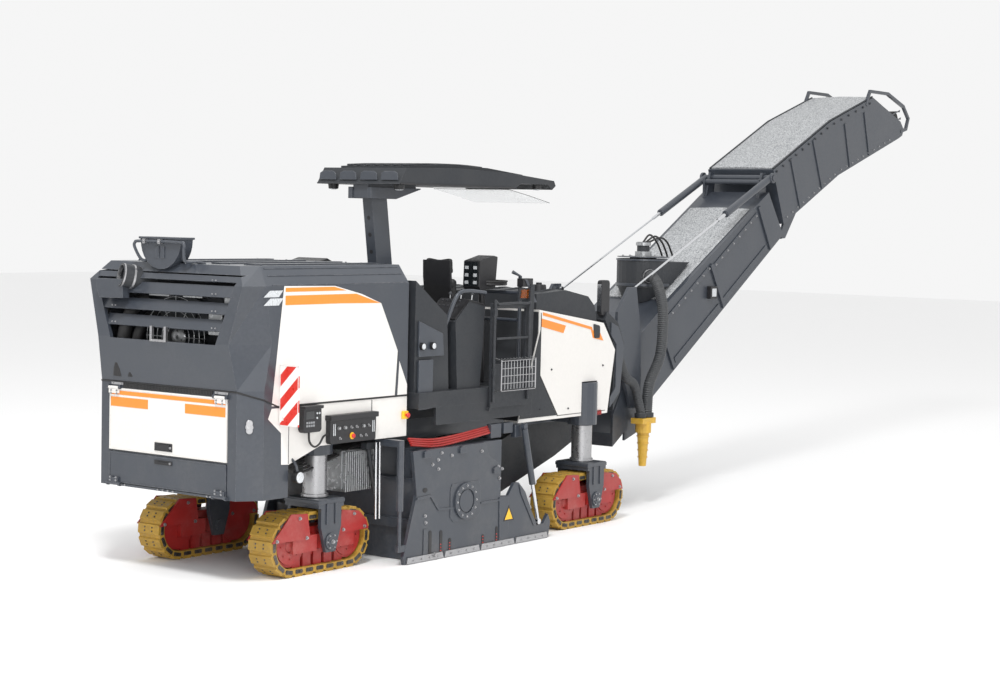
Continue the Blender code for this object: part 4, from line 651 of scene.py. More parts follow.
# %% Seam gasket and panel joints
seam = Work()
route = [(-0.66, -SKIN - 0.001, SEAM_SIDE), (-2.33, -SKIN - 0.001, SEAM_SIDE), (-2.50, -SKIN - 0.001, 1.546),
         (TAIL_X - 0.002, -0.80, SEAM_TAIL), (TAIL_X - 0.002, 0.80, SEAM_TAIL), (-2.50, SKIN + 0.001, 1.546),
         (-2.33, SKIN + 0.001, SEAM_SIDE), (-0.66, SKIN + 0.001, SEAM_SIDE)]
seam.tube(route, 0.007, 8)
seam.done("hood_seam_gasket", RUBBER, "machine")
lines = Work()
side_field(lines, [(-0.832, 1.492), (-0.822, 1.492), (-0.792, 1.875), (-0.802, 1.885)], 0.003)
side_field(lines, [(-2.205, 1.00), (-2.199, 1.00), (-2.199, 1.47), (-2.205, 1.47)], 0.0035)
side_field(lines, [(-1.145, 1.128), (-1.139, 1.128), (-1.139, 1.47), (-1.145, 1.47)], 0.0030)
lines.pair("panel_joint", DARK, "machine")
bevel_strip = Work()
for z in (2.487, 2.560, 2.618):
    lean = (z - 2.48) / 0.16 * 0.12
    bevel_strip.bar((-2.42, -BODY_HALF + lean - 0.002, z), (-0.70, -BODY_HALF + lean - 0.002, z), 0.0045, 6)
bevel_strip.pair("roof_bevel_rib", ANTHRACITE, "hood")
roof = Work()
for y in (-0.62, -0.22, 0.22, 0.62):
    roof.prism([(-2.36, y - 0.05), (-0.80, y - 0.05), (-0.80, y + 0.05), (-2.36, y + 0.05)], "z", 2.6402,
               2.652)
for x in (-2.34, -0.86):
    for i in range(9):
        roof.bolt((x, -0.72 + i * 0.18, 2.640), (0, 0, 1), 0.012)
roof.done("roof_ribs", ANTHRACITE, "hood", 0.004)
print("seams, joints and roof ribs")

# %% Tail door and flap
door = Work()
door_face = TAIL_X - 0.0045
door.box((door_face - 0.0012, door_face), (-0.68, 0.68), (1.500, 1.535))
door.box((door_face - 0.0012, door_face), (0.227, 0.68), (1.400, 1.480))
door.box((door_face - 0.0012, door_face), (-0.68, -0.213), (1.400, 1.480))
door.done("tail_door_stripes", ORANGE, "tail_door")
latches = {"tail_door": (1.06, 1.13), "tail_flap": (0.945, 0.982)}
for body, (low, high) in latches.items():
    grip = Work()
    grip.box((door_face - 0.006, door_face), (-0.07, 0.14), (low, high))
    grip.box((door_face - 0.014, door_face - 0.005), (-0.045, 0.10), (low + 0.012, high - 0.012))
    grip.done(body + "_latch", PLASTIC, body, 0.003)
    lock = Work()
    lock.ring((door_face - 0.006, -0.055, (low + high) / 2), (-1, 0, 0), 0.010, 0.004, 0.010, 16)
    for side in (-1, 1):
        for z in (0.045, 0.020):
            edge = 1.556 - z if body == "tail_door" else 0.745 + z
            for y in (0.59, 0.66):
                lock.bolt((TAIL_X - 0.0228, side * y, edge), (-1, 0, 0), 0.009)
    lock.done(body + "_lock", STEEL, body)
for low, high, body in ((1.027, 1.556, "tail_door"), (0.745, 1.010, "tail_flap")):
    hem = Work()
    for y0, y1, z0, z1 in ((-0.695, 0.695, low + 0.001, low + 0.016),
                           (-0.695, 0.695, high - 0.010, high - 0.001),
                           (-0.695, -0.682, low, high), (0.682, 0.695, low, high)):
        hem.box((door_face - 0.003, door_face), (y0, y1), (z0 + 0.012, z1 - 0.012))
    hem.done(body + "_hem", WHITE if body == "tail_door" else ANTHRACITE, body, 0.002)
print("door and flap")

# %% Ribbed strip, hinge plates and lifting cap
strip = Work()
for i in range(60):
    y = -0.52 + i * 1.04 / 59
    strip.box((TAIL_X - 0.010, TAIL_X - 0.0005), (y - 0.006, y + 0.006), (1.567, 1.604))
strip.box((TAIL_X - 0.006, TAIL_X - 0.0005), (-0.53, 0.53), (1.565, 1.606))
strip.done("tail_ribbed_strip", RUBBER, "machine", 0.001)
hinge = Work()
for side, y in ((1, 0.60), (-1, -0.63)):
    hinge.box((TAIL_X - 0.005, TAIL_X - 0.0005), (y - 0.075, y + 0.075), (1.586, 1.607))
    hinge.bolt((TAIL_X - 0.005, y - 0.05, 1.596), (-1, 0, 0), 0.008)
    hinge.bolt((TAIL_X - 0.005, y + 0.05, 1.596), (-1, 0, 0), 0.008)
for y in (-0.66, -0.52, -0.48, -0.08, -0.02, 0.04, 0.10, 0.50, 0.54, 0.68):
    hinge.bolt((TAIL_X - 0.001, y, 0.731), (-1, 0, 0), 0.009)
hinge.done("tail_hinge_plates", STEEL, "machine")
cap = Work()
chamfer = Vector((-0.13, -0.185, 0)).normalized()
spot = Vector((-2.60, -0.862, 1.33))
for side in (-1, 1):
    cap.bar(spot + Vector((0, 0, side * 0.030)), spot + chamfer * 0.012 + Vector((0, 0, side * 0.030)),
            0.028, 20)
cap.bar(spot, spot + chamfer * 0.011, 0.034, 20)
cap.done("tail_lifting_cap", STEEL, "machine", 0.003)
print("tail door and flap dressed")

# %% Reflectors and striped boards
flash = Work()
for low, high, lean in ((2.320, 2.378, 0.055), (2.388, 2.442, 0.050)):
    side_field(flash, [(-2.745 + 0.38 * lean + 0.20, low), (-2.345, low), (-2.345 + lean, high),
                       (-2.50 + lean, high)],
               0.003)
flash.pair("hood_reflector", SILVER, "hood")
frame_edge = Work()
for y0, y1, z0, z1 in ((-1.150, -0.945, 1.33, 1.336), (-1.150, -0.945, 1.824, 1.83),
                       (-1.150, -1.144, 1.33, 1.83),
                       (-0.951, -0.945, 1.33, 1.83)):
    frame_edge.box((-2.3318, -2.3302), (y0, y1), (z0, z1))
for z in (1.38, 1.40):
    frame_edge.bolt((-2.332, -0.985, z), (-1, 0, 0), 0.008)
frame_edge.pair("warning_board_edge", WHITE, "machine")
print("reflectors and boards")

# %% [markdown]
# ## What shows between the louvres
# Behind the slats sit the fan with its wire guard, two air ducts and a few
# pale boxes. They are dim and half hidden, but without them the mouth would
# read as an empty black hole.

# %% Fan guard, ducts and boxes
guard = Work()
for radius in (0.10, 0.16, 0.22, 0.28, 0.34):
    route = [(-2.60, radius * cos(2 * pi * i / 32), 2.02 + radius * sin(2 * pi * i / 32)) for i in range(33)]
    guard.tube(route, 0.003, 5)
for i in range(12):
    turn = 2 * pi * i / 12
    guard.bar((-2.60, 0.09 * cos(turn), 2.02 + 0.09 * sin(turn)),
              (-2.60, 0.35 * cos(turn), 2.02 + 0.35 * sin(turn)),
              0.004, 5)
guard.done("fan_guard", GALVANISED, "hood")
hub = Work()
hub.dome((-2.56, 0, 2.02), (-1, 0, 0), 0.085, 0.03)
hub.bolt((-2.59, 0, 2.02), (-1, 0, 0), 0.02)
hub.done("fan_hub_dome", GALVANISED, "fan")
ducts = Work()
ducts.tube(smooth([(-2.66, 0.60, 1.66), (-2.65, 0.58, 1.95), (-2.62, 0.52, 2.20), (-2.50, 0.46, 2.34)], 5),
           0.06, 14)
ducts.tube(smooth([(-2.66, 0.44, 1.66), (-2.64, 0.44, 1.90), (-2.60, 0.40, 2.10), (-2.46, 0.36, 2.24)], 5),
           0.045, 14)
ducts.done("air_ducts", RUBBER, "hood")
boxes = Work()
boxes.box((-2.64, -2.56), (-0.58, -0.42), (2.06, 2.26))
boxes.box((-2.66, -2.60), (-0.70, -0.62), (2.30, 2.44))
boxes.box((-2.66, -2.58), (-0.36, -0.14), (2.36, 2.47))
boxes.box((-2.66, -2.60), (0.02, 0.26), (2.36, 2.45))
boxes.done("pale_boxes", GALVANISED, "hood", 0.006)
lip = Work()
for outline in ([(-0.06, 1.985), (0.13, 1.985), (0.13, 2.115), (0.105, 2.115), (0.105, 2.005),
                 (-0.035, 2.005),
                 (-0.035, 2.115), (-0.06, 2.115)],):
    lip.prism(outline, "x", -2.775, -2.745)
lip.done("lifting_bracket", STEEL, "hood", 0.003)
corner = Work()
corner.prism([(0.415, 2.333), (0.700, 2.328), (0.735, 2.400), (0.745, 2.490), (0.425, 2.494)], "x", -2.815,
             -2.735)
corner.done("louvre_corner_box", ANTHRACITE, "hood", 0.006)
bolts = Work()
for z, depth in ((2.15, 0.09), (2.29, 0.09), (2.43, 0.09), (2.53, 0.045)):
    for y in (0.57, 0.61, -0.57, -0.61):
        if not (z > 2.3 and y > 0.4):
            bolts.bolt((-2.748, y, z - depth * 0.25), (-1, 0, 0), 0.007)
bolts.done("louvre_bolts", STEEL, "hood")
print("fan guard, ducts and fittings behind the louvres")

# %% Exhaust rim and tailpipe
pipe_start, pipe_end = Vector((-2.54, 0.33, 2.475)), Vector((-2.80, 0.46, 2.53))
pipe_along = (pipe_end - pipe_start).normalized()
rim = Work()
rim.ring(pipe_end - pipe_along * 0.022, pipe_along, 0.1015, 0.1002, 0.014, 32)
rim.ring(pipe_end - pipe_along * 0.030, pipe_along, 0.0918, 0.0880, 0.029, 32)
rim.ring(pipe_end - pipe_along * 0.110, pipe_along, 0.1060, 0.1003, 0.018, 32)
rim.done("exhaust_rim", STEEL, "hood", 0.002)

# %% [markdown]
# ## Stowage bin on the roof
# A half-round bin hangs in a bent tube frame at the rear of the roof. The tube
# is swept along a few chosen points; the bin is a half disc pushed to depth.

# %% Bin and its frame
bin_work = Work()
bin_work.prism([(0.33, 2.845), (0.33, 2.825)] + circle((0.087, 2.825), 0.238, 17, 0.0,
                                                       -pi) + [(-0.155, 2.845)],
               "x", -2.700, -2.560)
bin_work.box((-2.715, -2.545), (-0.160, 0.335), (2.838, 2.856))
bin_work.box((-2.708, -2.700), (0.035, 0.075), (2.68, 2.78))
bin_work.box((-2.708, -2.700), (0.10, 0.14), (2.68, 2.78))
bin_work.done("roof_bin", ANTHRACITE, "hood", 0.004)
rack = Work()
rack.tube(smooth([(-2.52, 0.24, 2.640), (-2.60, 0.26, 2.665), (-2.712, 0.29, 2.66), (-2.722, 0.37, 2.76),
                  (-2.722, 0.37, 2.805), (-2.722, 0.30, 2.818), (-2.722, -0.14, 2.818), (-2.722, -0.21, 2.80),
                  (-2.722, -0.21, 2.74), (-2.712, -0.22, 2.66), (-2.60, -0.24, 2.655),
                  (-2.52, -0.26, 2.640)], 5),
          0.013, 8)
rack.done("roof_bin_rack", ANTHRACITE, "hood")
clamps = Work()
for y in (0.245, 0.065):
    clamps.box((-2.745, -2.706), (y - 0.014, y + 0.014), (2.798, 2.838))
    clamps.bolt((-2.745, y, 2.818), (-1, 0, 0), 0.009)
clamps.done("roof_bin_clamps", STEEL, "hood", 0.003)
print("bin, rack and clamps")

# %% [markdown]
# ## Controls on the side
# An operator walking beside the machine has a small panel under a flap, a
# display with keys, an emergency stop and a work lamp. They sit on the white
# side cover, the same on both sides.

# %% Control box, display box and emergency stop
panel = Work()
panel.prism([(-1.74, 1.350), (-1.14, 1.350), (-1.145, 1.140), (-1.155, 1.128), (-1.725, 1.128),
             (-1.74, 1.145)], "y",
            -SKIN, -SKIN - 0.055)
panel.prism([(-1.752, 1.375), (-1.128, 1.375), (-1.128, 1.330), (-1.752, 1.330)], "y", -SKIN, -SKIN - 0.075)
panel.pair("side_control_box", PLASTIC, "machine", 0.006)
shelf = SKIN + 0.055
knobs = Work()
for x in (-1.640, -1.560, -1.320):
    knobs.bar((x, -shelf, 1.262), (x, -shelf - 0.022, 1.262), 0.016, 16, 0.013)
knobs.pair("side_knobs", GALVANISED, "machine", 0.002)
toggles = Work()
for x, z in ((-1.475, 1.262), (-1.405, 1.262), (-1.245, 1.262), (-1.62, 1.175), (-1.28, 1.180),
             (-1.35, 1.180)):
    toggles.ring((x, -shelf, z), (0, -1, 0), 0.012, 0.006, 0.004, 12)
    toggles.bar((x, -shelf, z), (x, -shelf - 0.020, z - 0.006), 0.005, 8, 0.007)
toggles.pair("side_toggles", STEEL, "machine")
rows = Work()
for x in (-1.70, -1.68, -1.19, -1.17):
    rows.box((x - 0.004, x + 0.004), (-shelf - 0.002, -shelf), (1.20, 1.30))
rows.pair("side_panel_marks", SILVER, "machine")
stop_plate = Work()
stop_plate.bar((-1.46, -shelf, 1.185), (-1.46, -shelf - 0.004, 1.185), 0.030, 24)
stop_plate.pair("side_stop_plate", SIGN, "machine")
stop = Work()
stop.bar((-1.46, -shelf - 0.003, 1.185), (-1.46, -shelf - 0.020, 1.185), 0.012, 16)
stop.dome((-1.46, -shelf - 0.018, 1.185), (0, -1, 0), 0.021, 0.012)
stop.bar((-0.70, -0.955, 1.31), (-0.70, -0.985, 1.31), 0.013, 16)
stop.dome((-0.70, -0.983, 1.31), (0, -1, 0), 0.024, 0.014)
stop.pair("side_stop_knob", RED_KEY, "machine")
stop_base = Work()
stop_base.box((-0.735, -0.665), (-0.958, -0.9305), (1.275, 1.345))
stop_base.pair("side_stop_base", SIGN, "machine", 0.006)
print("control box")

# %% Display box with its keys and cable
display = Work()
display.prism([(-2.085, 1.455), (-1.865, 1.455), (-1.860, 1.270), (-1.880, 1.250), (-2.070, 1.250),
               (-2.090, 1.275)],
              "y", -SKIN, -SKIN - 0.065)
display.prism([(-2.095, 1.475), (-1.855, 1.475), (-1.860, 1.448), (-2.090, 1.448)], "y", -SKIN, -SKIN - 0.085)
display.pair("side_display_box", PLASTIC, "machine", 0.007)
glass = Work()
glass.box((-2.060, -1.960), (-SKIN - 0.067, -SKIN - 0.064), (1.365, 1.430))
glass.pair("side_display_glass", SCREEN, "machine", 0.002)
keys = Work()
for i in range(4):
    for j in range(2):
        keys.box((-2.058 + i * 0.028, -2.038 + i * 0.028), (-SKIN - 0.070, -SKIN - 0.064),
                 (1.325 - j * 0.026, 1.343 - j * 0.026))
keys.pair("side_keys", GREEN_KEY, "machine", 0.002)
bright = Work()
for x, z in ((-1.925, 1.41), (-1.925, 1.37), (-1.895, 1.41)):
    bright.bar((x, -SKIN - 0.064, z), (x, -SKIN - 0.070, z), 0.009, 12)
bright.pair("side_pilot_lamps", SILVER, "machine")
loop = Work()
loop.tube(smooth([(-1.985, -SKIN - 0.030, 1.252), (-1.985, -SKIN - 0.040, 1.17),
                  (-1.93, -SKIN - 0.045, 1.125),
                  (-1.86, -SKIN - 0.040, 1.145), (-1.80, -SKIN - 0.030, 1.20),
                  (-1.738, -SKIN - 0.028, 1.22)], 5), 0.009, 8)
loop.pair("side_cable_loop", RUBBER, "machine")
print("side controls on both sides")

# %% Work lamp on its arm
arm = Work()
arm.tube(smooth([(-2.16, -0.86, 1.06), (-2.15, -0.93, 1.03), (-2.14, -0.965, 0.98), (-2.13, -0.97, 0.93)],
                4), 0.012, 8)
arm.box((-2.185, -2.135), (-0.872, -0.850), (1.03, 1.10))
arm.pair("work_lamp_arm", ANTHRACITE, "machine")
shell = Work()
shell.loft([[(-2.13 + 0.055 * cos(t), -0.975 + y, 0.885 + 0.050 * sin(t)) for t in
             [2 * pi * i / 20 for i in range(20)]] for y in (0.030, 0.0, -0.030)])
shell.pair("work_lamp_shell", PLASTIC, "machine", 0.006)
lens = Work()
lens.dome((-2.13, -1.005, 0.885), (0, -1, 0), 0.046, 0.010)
lens.pair("work_lamp_lens", SILVER, "machine")
print("work lamps")

# %% [markdown]
# ## Under the machine
# Between the tracks hangs the drive of the rear crawlers: bright lifting
# columns, a finned valve block, struts and hoses. They fill the shade under
# the body, and ride with whatever carries them.

# %% Bright columns and pivot heads
CRAWLERS = {"rear_right": (-1.57, -0.666), "rear_left": (-1.57, 0.666), "front_right": (2.27, -0.82),
            "front_left": (2.27, 0.82)}
for name, (x, y) in CRAWLERS.items():
    side = -1 if y < 0 else 1
    column = Work()
    column.ring((x, y, 0.66), (0, 0, 1), 0.1035, 0.1002, 0.345, 32)
    column.ring((x, y, 0.645), (0, 0, 1), 0.118, 0.1002, 0.026, 32)
    column.done(name + "_bright_column", STEEL, name + "_crawler", 0.003)
    fork = Work()
    outer = y + side * 0.1955
    for dx in (-0.055, 0.055):
        fork.prism([(x + dx - 0.013, 0.42), (x + dx + 0.013, 0.42), (x + dx + 0.013, 0.60),
                    (x + dx - 0.013, 0.60)], "y",
                   outer, outer + side * 0.012)
    fork.prism(circle((x, 0.27), 0.075, 20), "y", outer, outer + side * 0.014)
    fork.box((x - 0.17, x + 0.17), (y - 0.20, y + 0.20), (0.600, 0.632))
    fork.done(name + "_fork_trim", ANTHRACITE, name + "_crawler", 0.004)
    heads = Work()
    for i in range(6):
        turn = 2 * pi * i / 6
        heads.bolt((x + 0.058 * cos(turn), outer + side * 0.014, 0.27 + 0.058 * sin(turn)), (0, side, 0),
                   0.009)
    heads.bolt((x, outer + side * 0.020, 0.27), (0, side, 0), 0.020)
    heads.done(name + "_pivot_bolts", STEEL, name + "_crawler")
print("columns, forks and pivots:", len(CRAWLERS))

# %% Crawler shoes, chains and sprockets
TRACK_HALF = 0.365
TRACK_ROUND = 0.27
SHOE_COUNT = 24
SHOE_SHIFT = 0.65
for name, (x, y) in CRAWLERS.items():
    side = -1 if y < 0 else 1
    middle = x - 0.05
    lap = 4 * TRACK_HALF + 2 * pi * TRACK_ROUND

    def on_track(distance, radius):
        """Point and outward direction on the belt, a distance along its outside."""
        s = distance % lap
        if s < 2 * TRACK_HALF:
            return Vector((middle - TRACK_HALF + s, 0, TRACK_ROUND - radius)), Vector((0, 0, -1))
        s -= 2 * TRACK_HALF
        if s < pi * TRACK_ROUND:
            turn = -pi / 2 + s / TRACK_ROUND
            return (Vector((middle + TRACK_HALF + radius * cos(turn), 0, TRACK_ROUND + radius * sin(turn))),
                    Vector((cos(turn), 0, sin(turn))))
        s -= pi * TRACK_ROUND
        if s < 2 * TRACK_HALF:
            return Vector((middle + TRACK_HALF - s, 0, TRACK_ROUND + radius)), Vector((0, 0, 1))
        s -= 2 * TRACK_HALF
        turn = pi / 2 + s / TRACK_ROUND
        return (Vector((middle - TRACK_HALF + radius * cos(turn), 0, TRACK_ROUND + radius * sin(turn))),
                Vector((cos(turn), 0, sin(turn))))

    holes, links, plates = Work(), Work(), Work()
    pitch = lap / SHOE_COUNT
    for i in range(SHOE_COUNT):
        spot, out = on_track((i + SHOE_SHIFT) * pitch, TRACK_ROUND)
        tangent = Vector((out.z, 0, -out.x))
        if spot.z > 0.03:
            for dy in (-0.045, 0.045):
                for dt in (-0.016, 0.016):
                    foot = spot + Vector((0, y + dy, 0)) + tangent * dt - out * 0.004
                    holes.bar(foot, foot + out * 0.0045, 0.008, 8)
        inner, _ = on_track((i + SHOE_SHIFT) * pitch, TRACK_ROUND - 0.045)
        for edge in (-1, 1):
            wall = y + edge * 0.130
            corners = [inner + tangent * a + out * b for a, b in
                       ((-0.040, -0.018), (0.040, -0.018), (0.046, 0.0), (0.040, 0.016), (-0.040, 0.016),
                        (-0.046, 0.0))]
            links.loft([[(c.x, wall + edge * reach, c.z) for c in corners] for reach in (0.0003, 0.0050)])
            for a in (-0.026, 0.026):
                pin = inner + tangent * a
                links.bar((pin.x, wall + edge * 0.004, pin.z), (pin.x, wall + edge * 0.0085, pin.z), 0.010,
                          10)
    holes.done(name + "_shoe_bolts", CHAIN, name + "_crawler")
    links.done(name + "_chain_links", CHAIN, name + "_crawler", 0.0015)
    for edge in (-1, 1):
        wall = y + edge * 0.150
        for dx, dz in ((-0.58, 0.335), (-0.21, 0.325), (-0.30, 0.50), (0.26, 0.345), (0.54, 0.345),
                       (0.40, 0.47)):
            plates.bolt((middle + dx, wall, dz), (0, edge, 0), 0.016)
    plates.done(name + "_plate_bolts", STEEL, name + "_crawler")
    wheel = Work()
    for end in (-TRACK_HALF, TRACK_HALF):
        wheel.ring((middle + end, y + side * 0.090, TRACK_ROUND), (0, side, 0), 0.165, 0.060, 0.012, 28)
        for i in range(8):
            turn = 2 * pi * i / 8
            wheel.bolt((middle + end + 0.115 * cos(turn), y + side * 0.102, TRACK_ROUND + 0.115 * sin(turn)),
                       (0, side, 0), 0.010)
        wheel.dome((middle + end, y + side * 0.092, TRACK_ROUND), (0, side, 0), 0.058, 0.026)
    wheel.done(name + "_sprocket_hub", RED, name + "_crawler", 0.002)
print("shoe bolts, chain links and hubs on", len(CRAWLERS), "crawlers")

# %% Valve block, struts and hoses under the body
fins = Work()
for i in range(14):
    x = -1.30 + i * 0.028
    fins.box((x, x + 0.014), (-0.78, -0.50), (0.66, 1.010))
fins.box((-1.31, -0.90), (-0.74, -0.50), (0.68, 1.018))
fins.done("finned_valve_block", GALVANISED, "machine", 0.002)
strut = Work()
strut.bar((-1.02, -0.80, 1.02), (-0.93, -0.80, 0.62), 0.020, 10)
strut.bar((-1.36, -0.62, 1.05), (-1.05, -0.62, 0.70), 0.028, 10)
strut.box((-1.08, -0.90), (-0.83, -0.76), (1.02, 1.08))
strut.done("black_struts", DARK, "machine", 0.003)
rods = Work()
for dx in (0.0, 0.05):
    rods.bar((-0.99 + dx, -0.86, 1.08), (-0.98 + dx, -0.86, 0.40), 0.010, 10)
rods.done("guide_rods", CHROME, "machine")
lines_low = Work()
for i in range(6):
    y = -0.56 - 0.03 * i
    lines_low.tube(smooth([(-2.18, y, 1.06 + 0.012 * i), (-1.90, y - 0.01, 0.98 - 0.02 * i),
                           (-1.45, y, 1.000 - 0.01 * i),
                           (-1.05, y + 0.01, 1.045), (-0.66, y, 1.075)], 5), 0.012, 7)
lines_low.done("hydraulic_lines", RUBBER, "machine")
print("underbody fittings")

# %% [markdown]
# ## Side plate of the drum housing
# The plate floats up and down along the kerb. It is welded up of two
# overlapping sheets with a round hub, a depth scale in each of two slots and
# replaceable skids with four bolts each.

# %% Sheets, hub and scales
PLATE_FACE = -1.0965


def plate_part(name, material, bevel=0.0):
    """Parts are drawn for the right-hand plate and repeated on the left-hand one."""
    part = parts[name]
    part.done(name + "_right", material, "side_plate_right", bevel)
    twin = Work()
    shift = 0.660 - 1.096
    twin.verts = [Vector((v.x, -v.y + shift, v.z)) for v in part.verts]
    twin.faces = [tuple(reversed(face)) for face in part.faces]
    twin.done(name + "_left", material, "side_plate_left", bevel)


parts = {name: Work() for name in ("plate_overlay", "plate_hub", "plate_bolts", "plate_slots", "plate_sign",
                                   "plate_sign_field", "plate_skids", "plate_marks", "plate_lugs")}
overlay = parts["plate_overlay"]
overlay.prism([(-0.70, 0.585), (-0.50, 0.595), (-0.38, 0.460), (-0.165, 0.448), (-0.165, 0.430),
               (-0.395, 0.440),
               (-0.51, 0.572), (-0.70, 0.562)], "y", PLATE_FACE, PLATE_FACE - 0.010)
overlay.prism([(0.235, 0.455), (0.520, 0.452), (0.52, 0.434), (0.235, 0.436)], "y", PLATE_FACE,
              PLATE_FACE - 0.010)
overlay.prism([(0.52, 0.470), (0.67, 0.460), (0.665, 0.03), (0.53, 0.03)], "y", PLATE_FACE,
              PLATE_FACE - 0.008)
overlay.prism([(0.83, 0.560), (0.90, 0.50), (1.12, 0.160), (1.08, 0.140), (0.86, 0.470)], "y", PLATE_FACE,
              PLATE_FACE - 0.009)
overlay.prism([(-0.60, 0.02), (-0.55, 0.02), (-0.55, 0.29), (-0.60, 0.29)], "y", PLATE_FACE,
              PLATE_FACE - 0.008)
print("sheets drawn")

# %% Hub and bolts of the side plate
hub = parts["plate_hub"]
hub.ring((0.0, PLATE_FACE - 0.011, 0.489), (0, -1, 0), 0.168, 0.115, 0.014, 40)
hub.prism(circle((0.0, 0.489), 0.100, 32), "y", PLATE_FACE - 0.011, PLATE_FACE - 0.020)
hub.prism([(-0.20, 0.66), (0.20, 0.66), (0.23, 0.60), (0.23, 0.36), (0.18, 0.315), (-0.18, 0.315),
           (-0.22, 0.36),
           (-0.22, 0.60)], "y", PLATE_FACE, PLATE_FACE - 0.006)
bolts = parts["plate_bolts"]
for x, z in ((-0.358, 0.958), (-0.21, 0.922), (0.239, 0.925), (-0.487, 0.862), (-0.406, 0.899),
             (-0.40, 0.815),
             (0.500, 0.760), (0.556, 0.735), (0.519, 0.649), (-0.58, 0.41), (-0.57, 0.349)):
    bolts.bolt((x, PLATE_FACE, z), (0, -1, 0), 0.016)
for i in range(12):
    turn = 2 * pi * i / 12
    bolts.bolt((0.142 * cos(turn), PLATE_FACE - 0.025, 0.489 + 0.142 * sin(turn)), (0, -1, 0), 0.011)
bolts.bolt((-0.453, PLATE_FACE - 0.012, 0.045), (0, -1, 0), 0.024)
print("hub and bolts drawn")

# %% Depth slots, their marks and the blank sign
slots = parts["plate_slots"]
for x0, x1, z0, z1 in ((-0.365, -0.325, 0.02, 0.235), (-0.235, -0.195, 0.02, 0.150),
                       (0.265, 0.300, 0.02, 0.130),
                       (0.475, 0.510, 0.02, 0.180), (-0.520, -0.480, 0.02, 0.25)):
    slots.prism([(x0, z0), (x1, z0)] + circle(((x0 + x1) / 2, z1), (x1 - x0) / 2, 9, 0.0, pi), "y",
                PLATE_FACE,
                PLATE_FACE - 0.003)
slots.prism([(-0.585 + 0.032 * cos(2 * pi * i / 18),
              0.641 + 0.022 * sin(2 * pi * i / 18)) for i in range(18)], "y",
            PLATE_FACE, PLATE_FACE - 0.003)
marks = parts["plate_marks"]
for x in (-0.345, -0.215, 0.2825, 0.4925):
    for i in range(4):
        marks.box((x - 0.010, x + 0.004), (PLATE_FACE - 0.0045, PLATE_FACE - 0.003),
                  (0.04 + i * 0.028, 0.049 + i * 0.028))
sign = parts["plate_sign"]
sign.prism([(0.583, 0.235), (0.752, 0.235), (0.668, 0.378)], "y", PLATE_FACE - 0.008, PLATE_FACE - 0.010)
field = parts["plate_sign_field"]
field.prism([(0.606, 0.247), (0.729, 0.247), (0.668, 0.352)], "y", PLATE_FACE - 0.010, PLATE_FACE - 0.0112)
print("slots and marks drawn")

# %% Skids and lugs of the side plate
skids = parts["plate_skids"]
for i in range(4):
    x0 = -0.84 + i * 0.54
    skids.prism([(x0, 0.006), (x0 + 0.525, 0.006), (x0 + 0.505, 0.062), (x0 + 0.015, 0.062)], "y", PLATE_FACE,
                PLATE_FACE - 0.016)
    for k in range(4):
        bolts.bolt((x0 + 0.09 + k * 0.115, PLATE_FACE - 0.016, 0.034), (0, -1, 0), 0.011)
lugs = parts["plate_lugs"]
for x, z in ((-0.62, 0.93), (-0.10, 0.93), (0.42, 0.70)):
    lugs.prism([(x, z), (x + 0.09, z), (x + 0.09, z + 0.05), (x + 0.06, z + 0.065), (x + 0.03, z + 0.065),
                (x, z + 0.05)], "y", PLATE_FACE, PLATE_FACE - 0.020)
for name, material, bevel in (("plate_overlay", ANTHRACITE, 0.002), ("plate_hub", ANTHRACITE, 0.003),
                              ("plate_bolts", STEEL, 0.0), ("plate_slots", PLASTIC, 0.0),
                              ("plate_marks", RED_KEY, 0.0),
                              ("plate_sign", PLASTIC, 0.0), ("plate_sign_field", SIGN, 0.0),
                              ("plate_skids", STEEL, 0.002), ("plate_lugs", ANTHRACITE, 0.003)):
    plate_part(name, material, bevel)
print("side plates dressed:", len(parts), "parts each")

# %% Hoses over the plate
red_lines = Work()
for i in range(4):
    red_lines.tube(smooth([(-0.70, -0.985 - 0.012 * i, 1.10 - 0.018 * i),
                           (-0.35, -1.0 - 0.010 * i, 1.07 - 0.020 * i),
                           (0.05, -1.0 - 0.010 * i, 1.09 - 0.018 * i),
                           (0.50, -0.985 - 0.01 * i, 1.13 - 0.018 * i)], 5),
                   0.010, 7)
red_lines.done("red_hoses", RED, "machine")
box_side = Work()
for x, w, z, h in ((0.46, 0.16, 1.02, 0.13), (0.66, 0.14, 1.05, 0.10), (0.84, 0.20, 1.00, 0.12)):
    box_side.prism([(x, z), (x + w, z), (x + w, z + h), (x, z + h)], "y", -0.98, -1.035)
box_side.pair("bracket_boxes", ANTHRACITE, "machine", 0.004)
print("hoses and brackets above the plate")

# %% [markdown]
# ## Discharge conveyor
# Both booms are troughs closed by light, speckled fabric covers that clip over
# rails. The seams of the cover, the bolts of the skirt, the belt rollers at
# the head and the guards around it are what make the boom read as a conveyor.

# %% Covers on both booms
BOOM_FOOT = Vector((3.38, 0, 0.65))
BOOM_ANGLE = radians(32.3)
BOOM_LENGTH = 4.27
BOOM_HALF = 0.45
ALONG = Vector((cos(BOOM_ANGLE), 0, sin(BOOM_ANGLE)))
UP = Vector((-sin(BOOM_ANGLE), 0, cos(BOOM_ANGLE)))


def on_boom(along, up, y=0.0):
    return BOOM_FOOT + ALONG * along + UP * up + Vector((0, y, 0))


